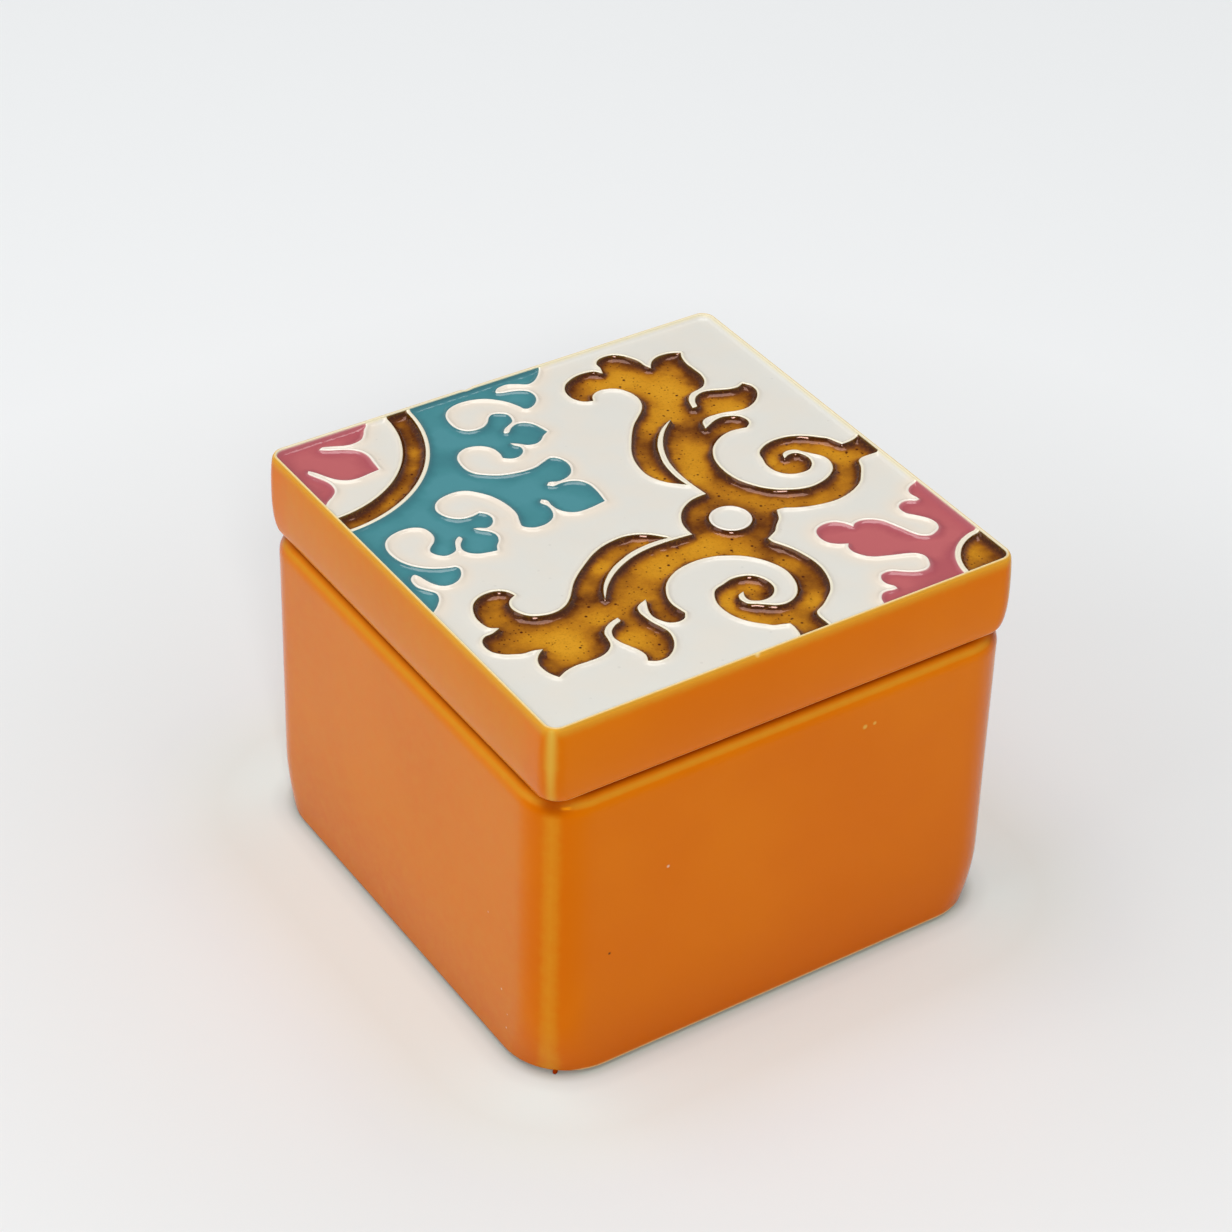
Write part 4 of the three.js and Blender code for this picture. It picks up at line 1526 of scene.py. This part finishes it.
@dataclass
class ReliefFace:
    """The lid's face: rim, white ground, ridges and cells."""

    cells: list[Cell]
    top: float = LID_TOP
    plate: float = 79.5
    ground: float = 0.95
    crest: float = 0.5
    crest_at: float = 0.28
    crest_width: float = 0.42
    rim_lip: float = 0.3
    rim_climb: float = 0.38
    step: float = 0.36
    under_rim: float = 1.2
    border_pieces: tuple[int, int] = (180, 6)
    pool_rows: tuple[float, ...] = (0.1, 0.25, 0.42, 0.62, 0.84, 1.08, 1.36, 1.7, 2.05)
    ridge_rows: tuple[float, ...] = (0.14, 0.28, 0.45, 0.65, 0.9, 1.3)
    rim_rows: tuple[float, ...] = (0.15, 0.35, 0.65, 1.1)
    rim_pieces: tuple[int, int] = (150, 4)
    rim_clear: float = 0.35
    grid: float = 1.3
    grid_margins: Point = (1.2, 1.0)
    grid_clear: float = 1.9
    border_clear: float = 0.1
    row_slack: float = 0.03
    least_corner: float = 0.3
    apart: float = 0.11
    ridge_waver: Waver = Waver(0.09, 1.6, 2.0)
    ridge_bumps: Waver = Waver(0.05, 2.6, 9.0)
    ground_bumps: Waver = Waver(0.05, 7.0, 5.0)
    edge_ease: float = 0.3
    bumps_ease: float = 1.5
    ridge_thin: float = 0.9
    ridge_thin_width: float = 0.22
    warm_by_colour: Point = (0.85, 2.6)
    warm_by_cell: Point = (0.6, 1.1)
    ridge_thin_at: float = 0.7
    rim_glow: float = 0.25
    far_glow: float = 0.1
    far_from: float = 46.0
    far_width: float = 3.0
    towards_front: Point = (-0.56, -0.83)
    far_wide: float = 0.18
    near_wide: float = 0.75
    patches: Waver = Waver(1.0, 4.5, 31.0)
    rim_run: float = 1.3
    drawn: Waver = Waver(0.12, 2.2, 17.0)
    form_easing: Easing = Easing(0.2, 0.3, 6)
    slope_easing: Easing = Easing(0.2, 0.3, 3)
    tone_easing: Easing = Easing(0.25, 0.5, 8)

    def rim_level(self, e: np.ndarray) -> np.ndarray:
        """Give the depth of the ground at a distance from a cell."""
        return self.ground - (self.ground - self.crest) * bell(e, self.crest_at, self.crest_width)

    def by_rim(self, e: np.ndarray) -> np.ndarray:
        """Give the depth to which the glaze climbs at a distance from the rim."""
        return self.ground - (self.ground - self.rim_lip) * bell(e, 0, self.rim_climb)

    def lines(self) -> list[np.ndarray]:
        """Sample each cell's outline, pushed under the rim where the rim cuts it off.

        Returns:
            The outlines, each with one place per row.
        """
        found = []
        for cell in self.cells:
            for points in [cell.outline, *([cell.hole] if cell.hole else [])]:
                line = smooth_outline(points, self.step)
                found.append(np.where(np.abs(line) > EDGE - 1e-6, line * (1 + self.under_rim / EDGE), line))
        return found

    def free_places(self, lines: list[np.ndarray]) -> np.ndarray:
        """Scatter places for the triangles, close by the outlines and wide apart elsewhere.

        Args:
            lines: the cells' outlines.

        Returns:
            The places, one per row.
        """
        edges = Outlines(lines)
        loose = []
        for line in lines:
            ahead = np.roll(line, -1, axis=0) - np.roll(line, 1, axis=0)
            normal = np.column_stack([-ahead[:, 1], ahead[:, 0]])
            normal /= np.maximum(np.linalg.norm(normal, axis=1), 1e-9)[:, None]
            for row in (*self.pool_rows, *(-r for r in self.ridge_rows)):
                moved = line + normal * row
                loose.append(moved[np.abs(edges.distance(moved) - abs(row)) < self.row_slack])
        for row in self.rim_rows:
            near_rim = rounded_square(EDGE - row, max(EDGE_CORNER - row, self.least_corner), *self.rim_pieces)
            loose.append(near_rim[edges.distance(near_rim) > self.rim_clear])
        span = np.arange(-EDGE + self.grid_margins[0], EDGE - self.grid_margins[1], self.grid)
        mesh = np.stack(np.meshgrid(span, span), axis=-1).reshape(-1, 2)
        mesh[:, 0] += np.where(np.arange(len(mesh)) // len(span) % 2, self.grid / 2, 0)
        loose.append(mesh[edges.distance(mesh) > self.grid_clear])
        free = np.vstack(loose)
        free = free[to_border(free, EDGE, EDGE_CORNER) > self.border_clear]
        _, first = np.unique(np.round(free / self.apart).astype(int), axis=0, return_index=True)
        return free[np.sort(first)]

    def triangulate(self, lines: list[np.ndarray]) -> tuple[np.ndarray, np.ndarray, np.ndarray]:
        """Cut the face into triangles along every outline.

        Args:
            lines: the cells' outlines.

        Returns:
            The places, the triangles and the number of each one's cell, or -1 on the ground.
        """
        loops = [rounded_square(EDGE, EDGE_CORNER, *self.border_pieces), *lines]
        starts = np.cumsum([0, *(len(loop) for loop in loops)])
        faces = [list(range(a, b)) for a, b in zip(starts, starts[1:])]
        places = [Vector(p) for p in np.vstack([*loops, self.free_places(lines)]).tolist()]
        verts, _, tris, _, _, owners = delaunay_2d_cdt(places, [], faces, 0, 1e-5)
        flat = np.array([tuple(v) for v in verts])
        order = [i for i, cell in enumerate(self.cells) for _ in range(2 if cell.hole else 1)]
        holes = {k + 1 for k in range(1, len(order)) if order[k] == order[k - 1]}
        kept, cell_of = [], []
        for tri, owner in zip(tris, owners):
            if 0 in owner:
                inside = [k for k in owner if k > 0]
                kept.append(tri)
                cell_of.append(-1 if not inside or holes & set(inside) else order[inside[0] - 1])
        return flat, np.array(kept), np.array(cell_of)

    def dress(self) -> list[bpy.types.Object]:
        """Build the ground with its rim and ridges, and the glaze in each cell.

        Returns:
            The finished pieces.
        """
        lines = self.lines()
        flat, triangles, cell_of = self.triangulate(lines)
        rim_distance = np.maximum(to_border(flat, EDGE, EDGE_CORNER), 0)
        away = Outlines(lines).away(flat)
        line_distance = np.linalg.norm(away, axis=1)
        pieces = [self.ground_piece(flat, triangles[cell_of < 0], rim_distance, line_distance)]
        with_flow = away @ np.array(self.towards_front) / np.maximum(line_distance, 1e-6)
        wide = 1 + self.far_wide * np.maximum(with_flow, 0) + self.near_wide * np.maximum(-with_flow, 0)
        pooled = np.minimum(line_distance * wide * np.exp(self.patches.at(flat)), self.rim_run * rim_distance)
        distance = np.minimum(rim_distance, line_distance)
        lip = np.minimum(self.rim_level(np.zeros(1)), self.by_rim(rim_distance))
        for index, cell in enumerate(self.cells):
            pieces.append(self.pool_piece(cell, flat, triangles[cell_of == index], distance, lip, pooled))
        pieces.append(self.rim_piece())
        return pieces

    def closed(
        self, name: str, flat: np.ndarray, triangles: np.ndarray, z: np.ndarray
    ) -> tuple[bpy.types.Object, np.ndarray, int]:
        """Make a solid from part of the face, with upright sides and a flat underside.

        Args:
            name: the piece's name.
            flat: places on the face.
            triangles: the triangles of this part.
            z: the height of each place.

        Returns:
            The object, the place that each vertex comes from, and how many vertices are on top.
        """
        used, index = np.unique(triangles, return_inverse=True)
        tris = index.reshape(-1, 3)
        loops = border_loops(tris)
        top = np.column_stack([flat[used], z[used]])
        rim = [i for loop in loops for i in loop]
        low = {i: len(top) + k for k, i in enumerate(rim)}
        bottom = top[rim]
        bottom[:, 2] = self.plate
        faces: list[tuple[int, ...]] = [tuple(t) for t in tris.tolist()]
        for loop in loops:
            faces += [(b, a, low[a], low[b]) for a, b in zip(loop, loop[1:] + loop[:1])]
        flat_loops = [[Vector((*flat[used[i]], 0)) for i in loop] for loop in loops]
        for a, b, c in tessellate_polygon(flat_loops):
            p, q, r = (flat[used[rim[i]]] for i in (a, b, c))
            up = (q[0] - p[0]) * (r[1] - p[1]) - (q[1] - p[1]) * (r[0] - p[0])
            abc = (len(top) + a, len(top) + b, len(top) + c)
            faces.append(abc if up < 0 else abc[::-1])
        piece = make_piece(name, np.vstack([top, bottom]), faces)
        self.sharpen(piece, len(top))
        return piece, np.concatenate([used, used[rim]]), len(top)

    @staticmethod
    def sharpen(piece: bpy.types.Object, top_count: int) -> None:
        """Keep the shading of the top apart from that of the hidden sides.

        Args:
            piece: the object.
            top_count: how many vertices belong to the top.
        """
        mesh = piece.data
        on_side = [any(v >= top_count for v in polygon.vertices) for polygon in mesh.polygons]
        mesh.polygons.foreach_set("use_smooth", [not side for side in on_side])
        sides = [polygon for polygon, side in zip(mesh.polygons, on_side) if side]
        side_edges = {key for polygon in sides for key in polygon.edge_keys}
        attribute = mesh.attributes.get("sharp_edge") or mesh.attributes.new("sharp_edge", "BOOLEAN", "EDGE")
        attribute.data.foreach_set("value", [edge.key in side_edges for edge in mesh.edges])

    def ground_piece(
        self, flat: np.ndarray, triangles: np.ndarray, rim: np.ndarray, line: np.ndarray
    ) -> bpy.types.Object:
        """Build the white ground with its ridges and the rim round it.

        Args:
            flat: places on the face.
            triangles: the triangles of the ground.
            rim: each place's distance to the rim.
            line: each place's distance to the nearest cell.

        Returns:
            The finished piece.
        """
        nearest = np.minimum(line, rim)
        shifted = line + np.clip(line / self.edge_ease, 0, 1) * self.ridge_waver.at(flat)
        depth = np.minimum(self.rim_level(shifted), self.by_rim(rim))
        depth = depth + self.ridge_bumps.at(flat) * np.clip(nearest / self.edge_ease, 0, 1) * np.exp(-line)
        depth = depth + self.ground_bumps.at(flat) * np.clip(nearest / self.bumps_ease, 0, 1)
        piece, source, _ = self.closed("lid_tile_face", flat, triangles, self.top - depth)
        thin = self.ridge_thin * bell(shifted, self.ridge_thin_at * self.crest_at, self.ridge_thin_width)
        from_brown, from_rose, from_turquoise = (
            self.cell_distance(flat, slot) for slot in (Slot.BROWN, Slot.ROSE, Slot.TURQUOISE))
        from_colour = np.minimum(from_turquoise, from_rose)
        (by_colour, colour_reach), (by_cell, cell_reach) = self.warm_by_colour, self.warm_by_cell
        warm = np.maximum(by_colour * bell(from_colour, 0, colour_reach), by_cell * bell(line, 0, cell_reach))
        far = self.far_side(flat)
        paint(piece, "thin", np.clip(thin[source], 0, 1))
        paint(piece, "warm", warm[source])
        paint(piece, "by_brown", np.clip(2 - from_brown, 0, 1)[source])
        paint(piece, "rim", bell(rim, 0, self.rim_glow - self.far_glow * far)[source])
        paint(piece, "far", far[source])
        piece.data.materials.append(TileGlaze().material())
        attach(piece, Body.LID.value)
        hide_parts("lid")
        return piece

    def far_side(self, places: np.ndarray) -> np.ndarray:
        """Mark the back and right sides of the rim, where it is paler."""
        return np.clip((places[:, :2].max(axis=1) - self.far_from) / self.far_width, 0, 1)

    def pool_piece(
        self, cell: Cell, flat: np.ndarray, triangles: np.ndarray, distance: np.ndarray,
        lip: np.ndarray, pooled: np.ndarray
    ) -> bpy.types.Object:
        """Build the glaze in one cell.

        Args:
            cell: the cell.
            flat: places on the face.
            triangles: the triangles of the cell.
            distance: each place's distance to the cell's edge.
            lip: how deep the glaze starts at the edge.
            pooled: the distance by which its tone changes, less where more glaze has run.

        Returns:
            The finished piece.
        """
        sunk, gentle = cell.form.sunk(distance * (1 + self.drawn.at(flat)))
        uneven = cell.form.uneven.at(flat) + cell.form.rough.at(flat)
        depth = lip + (cell.form.depth - lip) * sunk + uneven * gentle
        depth = self.form_easing.smooth(depth, triangles, distance)
        piece, source, top_count = self.closed(f"{cell.node}_glaze", flat, triangles, self.top - depth)
        slopes = self.slope_easing.smooth(self.slopes(flat, -depth, triangles), triangles, distance)
        self.shade(piece, slopes[source], top_count)
        toned = self.tone_easing.smooth(pooled, triangles, distance)
        paint(piece, "edge_mm", np.maximum(toned, 0)[source])
        piece.data.materials.append(cell.glaze.material())
        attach(piece, Body.LID.value)
        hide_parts(cell.node)
        return piece

    def cell_distance(self, flat: np.ndarray, slot: Slot) -> np.ndarray:
        """Measure how far places lie from the cells of one slot, in millimetres."""
        chosen = [c for c in self.cells if c.glaze.slot is slot]
        return Outlines([smooth_outline(c.outline, self.step) for c in chosen]).distance(flat)

    @staticmethod
    def slopes(flat: np.ndarray, z: np.ndarray, triangles: np.ndarray) -> np.ndarray:
        """Measure how steeply a surface rises at each of its places.

        Args:
            flat: places on the face.
            z: the height of each place.
            triangles: the surface's triangles.

        Returns:
            The rise along x and y at each place.
        """
        a, b, c = (np.column_stack([flat, z])[triangles[:, k]] for k in range(3))
        normal = np.cross(b - a, c - a)
        total = np.zeros((len(flat), 3))
        for k in range(3):
            np.add.at(total, triangles[:, k], normal)
        return -total[:, :2] / np.maximum(total[:, 2:], 1e-9)

    @staticmethod
    def shade(piece: bpy.types.Object, slopes: np.ndarray, top_count: int) -> None:
        """Shade the top of a piece by the slopes at its places.

        Args:
            piece: the object.
            slopes: the rise along x and y at each vertex.
            top_count: how many vertices belong to the top.
        """
        mesh = piece.data
        rise = np.column_stack([-slopes, np.ones(len(slopes))])
        rise /= np.linalg.norm(rise, axis=1)[:, None]
        normals = []
        for polygon in mesh.polygons:
            on_top = all(v < top_count for v in polygon.vertices)
            normals += [rise[v].tolist() if on_top else tuple(polygon.normal) for v in polygon.vertices]
        mesh.normals_split_custom_set(normals)

    def rim_piece(self) -> bpy.types.Object:
        """Build the thin rim between the face and the lid's sides.

        Returns:
            The finished piece.
        """
        crest = LID_HALF - SPLIT_INSET
        rings = [Ring(EDGE, EDGE_CORNER, self.plate, thin=1, bare=1)]
        for slow, fast in turn(6):
            rings.append(Ring(
                EDGE + (crest - EDGE) * slow, LID_CORNER - RIM_WIDTH * (1 - slow),
                self.top - self.rim_lip * (1 - fast), thin=1, bare=1))
        rings.append(Ring(crest, LID_CORNER, self.plate, thin=1, bare=1))
        rim = Shell(rings, sides=110, turns=12, chips=EDGE_CHIPS).build("lid_rim", False, False)
        paint(rim, "rim", np.ones(len(rim.data.vertices)))
        paint(rim, "far", self.far_side(np.array([v.co[:] for v in rim.data.vertices]) / MM))
        rim.data.materials.append(TileGlaze("white_rim_glaze").material())
        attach(rim, Body.LID.value)
        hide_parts("lid")
        return rim


SHALLOW = PoolForm(1.18, wall_reach=0.12, wall_share=0.2, slope_reach=0.2, pool_reach=1.5)
DEEP = PoolForm(1.8, wall_reach=0.3, wall_share=0.55, rough=Waver(0.03, 1.2, 23.0))

BROWN = PooledGlaze(
    "brown_glaze_pool", Slot.BROWN,
    (
        (0.0, srgb(122, 102, 42)), (0.1, srgb(84, 54, 18)), (0.25, srgb(64, 31, 10)),
        (0.65, srgb(72, 33, 9)), (1.0, srgb(96, 48, 10)), (1.4, srgb(122, 68, 14)),
        (1.9, srgb(150, 91, 18)), (2.5, srgb(181, 116, 22)), (3.4, srgb(205, 140, 27)),
        (5.0, srgb(217, 153, 34)),
    ),
    drift=0.8, tint=(1.0, 0.62, 0.52), spot=srgb(76, 28, 3), index=1.6)
ROSE = PooledGlaze(
    "rose_glaze_pool", Slot.ROSE,
    (
        (0.0, srgb(218, 164, 162)), (0.16, srgb(183, 100, 108)), (0.7, srgb(174, 86, 95)),
        (1.6, srgb(182, 93, 99)), (2.6, srgb(191, 101, 105)),
    ),
    drift=0.3, roughness=0.08, index=1.56)
TURQUOISE = PooledGlaze(
    "turquoise_glaze_pool", Slot.TURQUOISE,
    (
        (0.0, srgb(96, 144, 142)), (0.15, srgb(59, 117, 127)), (0.7, srgb(64, 126, 135)),
        (1.8, srgb(71, 137, 145)), (3.0, srgb(79, 144, 153)),
    ),
    drift=0.3, roughness=0.07, index=1.56)


def relief_cells() -> list[Cell]:
    """List the cells of the relief, each under the name of its solid.

    Returns:
        The cells.
    """
    band = [*arc_from_diagonal(BAND_OUTER, 9), *reversed(arc_from_diagonal(BAND_OUTER - BAND_WIDTH, 9))]
    spray = [*arc_from_diagonal(BAND_OUTER + BAND_RIDGE, 9), *LEAF_SPRAY]
    sprig = [*arc_from_diagonal(DROP_RADIUS + DROP_RIDGE, 6, True), *CORNER_SPRIG]
    drop = [*arc_from_diagonal(DROP_RADIUS, 6, True), (EDGE, -EDGE, C)]
    return [
        Cell("rose_corner_flower", both_sides(CORNER_FLOWER), ROSE, SHALLOW),
        Cell("brown_corner_band", both_sides(band), BROWN, DEEP),
        Cell("turquoise_leaf_spray", both_sides(spray), TURQUOISE, SHALLOW),
        Cell("brown_leaf_scroll", both_sides(LEAF_SCROLL), BROWN, DEEP, boss_hole()),
        Cell("rose_corner_sprig", both_sides(sprig), ROSE, SHALLOW),
        Cell("brown_corner_drop", both_sides(drop), BROWN, DEEP),
    ]


# The studio


@dataclass(frozen=True)
class Lamp:
    """A soft lamp: where it hangs, its width and height in metres, and its power in watts.

    Attributes:
        turned: degrees about the vertical where it hangs level, or None where it faces the box.
        aim: the place that it faces otherwise.
    """

    name: str
    place: Place
    size: Point
    watts: float
    turned: float | None = None
    colour: Colour = (1.0, 0.995, 0.98)
    aim: Place = (0.0, 0.0, 45.0)

    def hang(self) -> None:
        """Add the lamp to the scene."""
        data = bpy.data.lights.new(self.name, "AREA")
        data.shape = "RECTANGLE"
        data.size, data.size_y = self.size
        data.energy = self.watts
        data.color = self.colour
        lamp = bpy.data.objects.new(self.name, data)
        lamp.location = Vector(self.place) * MM
        if self.turned is None:
            way = Vector(self.aim) * MM - lamp.location
            lamp.rotation_euler = way.to_track_quat("-Z", "Y").to_euler()
        else:
            lamp.rotation_euler = Euler((0, 0, math.radians(self.turned)))
        bpy.context.scene.collection.objects.link(lamp)


@dataclass(frozen=True)
class DarkSide:
    """A side of the room that reflects darker: its direction, and how near to it that starts and ends."""

    way: Place
    start: float
    stop: float


@dataclass
class Studio:
    """The pale ground, the soft light and the camera."""

    camera_place: Place = (-287.53, -420.84, 430.71)
    camera_turn: Place = (53.641, -1.293, -33.049)
    lens: float = 97.21
    sensor: float = 36.0
    clips: Point = (0.05, 50.0)
    ground_half: float = 6000.0
    room_colour: Colour = (0.975, 0.99, 1.0)
    room_light: float = 0.34
    dark_light: float = 0.095
    backdrop_light: float = 0.86
    dark_sides: tuple[DarkSide, ...] = (
        DarkSide((-0.5, -0.735, 0.457), 0.6, 0.95), DarkSide((0.454, 0.665, 0.593), 0.84, 0.96),
    )
    lamps: tuple[Lamp, ...] = (
        Lamp("overhead", (-40, 120, 1900), (1.7, 1.1), 20.8, -34.0),
        Lamp("left", (-3300, 500, 1500), (2.4, 1.8), 21.5),
        Lamp("front", (-1400, -2500, 2250), (0.9, 0.9), 49.0),
    )

    def ground(self) -> None:
        """Lay the ground under the box."""
        half = self.ground_half
        corners = np.array([(-half, -half, 0), (half, -half, 0), (half, half, 0), (-half, half, 0)])
        plane = make_piece("ground", corners, [(0, 1, 2, 3)])
        plane.data.materials.append(Cloth().material())

    def room(self) -> None:
        """Set the even light of the room, with its dark sides, and the backdrop's brightness."""
        world = bpy.data.worlds.new("studio")
        world.use_nodes = True
        background = world.node_tree.nodes["Background"]
        background.inputs["Color"].default_value = (*self.room_colour, 1)
        nodes = Nodes(world.node_tree)
        way = nodes.node("TexCoord").outputs["Generated"]
        sides = []
        for side in self.dark_sides:
            along = nodes.node("VectorMath", "DOT_PRODUCT", way, side.way).outputs["Value"]
            sides.append(nodes.fade(along, Fade(side.start, side.stop, self.room_light, self.dark_light)))
        seen = nodes.node("LightPath").outputs["Is Camera Ray"]
        room = nodes.math("MINIMUM", *sides)
        strength = nodes.node("MapRange", "", seen, 0.0, 1.0, room, self.backdrop_light)
        nodes.link(strength.outputs["Result"], background.inputs["Strength"])
        bpy.context.scene.world = world

    def camera(self) -> None:
        """Stand the camera where the photograph was taken."""
        data = bpy.data.cameras.new("camera")
        data.lens = self.lens
        data.sensor_width = self.sensor
        data.clip_start, data.clip_end = self.clips
        camera = bpy.data.objects.new("camera", data)
        camera.location = Vector(self.camera_place) * MM
        camera.rotation_euler = Euler([math.radians(v) for v in self.camera_turn])
        bpy.context.scene.collection.objects.link(camera)
        bpy.context.scene.camera = camera

    def build(self) -> None:
        """Set up ground, light and camera, and plain colours."""
        bpy.context.scene.view_settings.view_transform = "Standard"
        self.ground()
        self.room()
        for lamp in self.lamps:
            lamp.hang()
        self.camera()


def main() -> None:
    """Build the box, its lid and the studio, and log each piece's face count."""
    logging.basicConfig(level=logging.INFO, format="%(name)s: %(message)s")
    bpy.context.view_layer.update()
    pieces = [BoxBody().dress(), GlazeDrip().dress(), LidShell().dress()]
    pieces += ReliefFace(relief_cells()).dress()
    for piece in pieces:
        log.info("%s: %d faces", piece.name, len(piece.data.polygons))
    Studio().build()


if __name__ == "__main__":
    main()
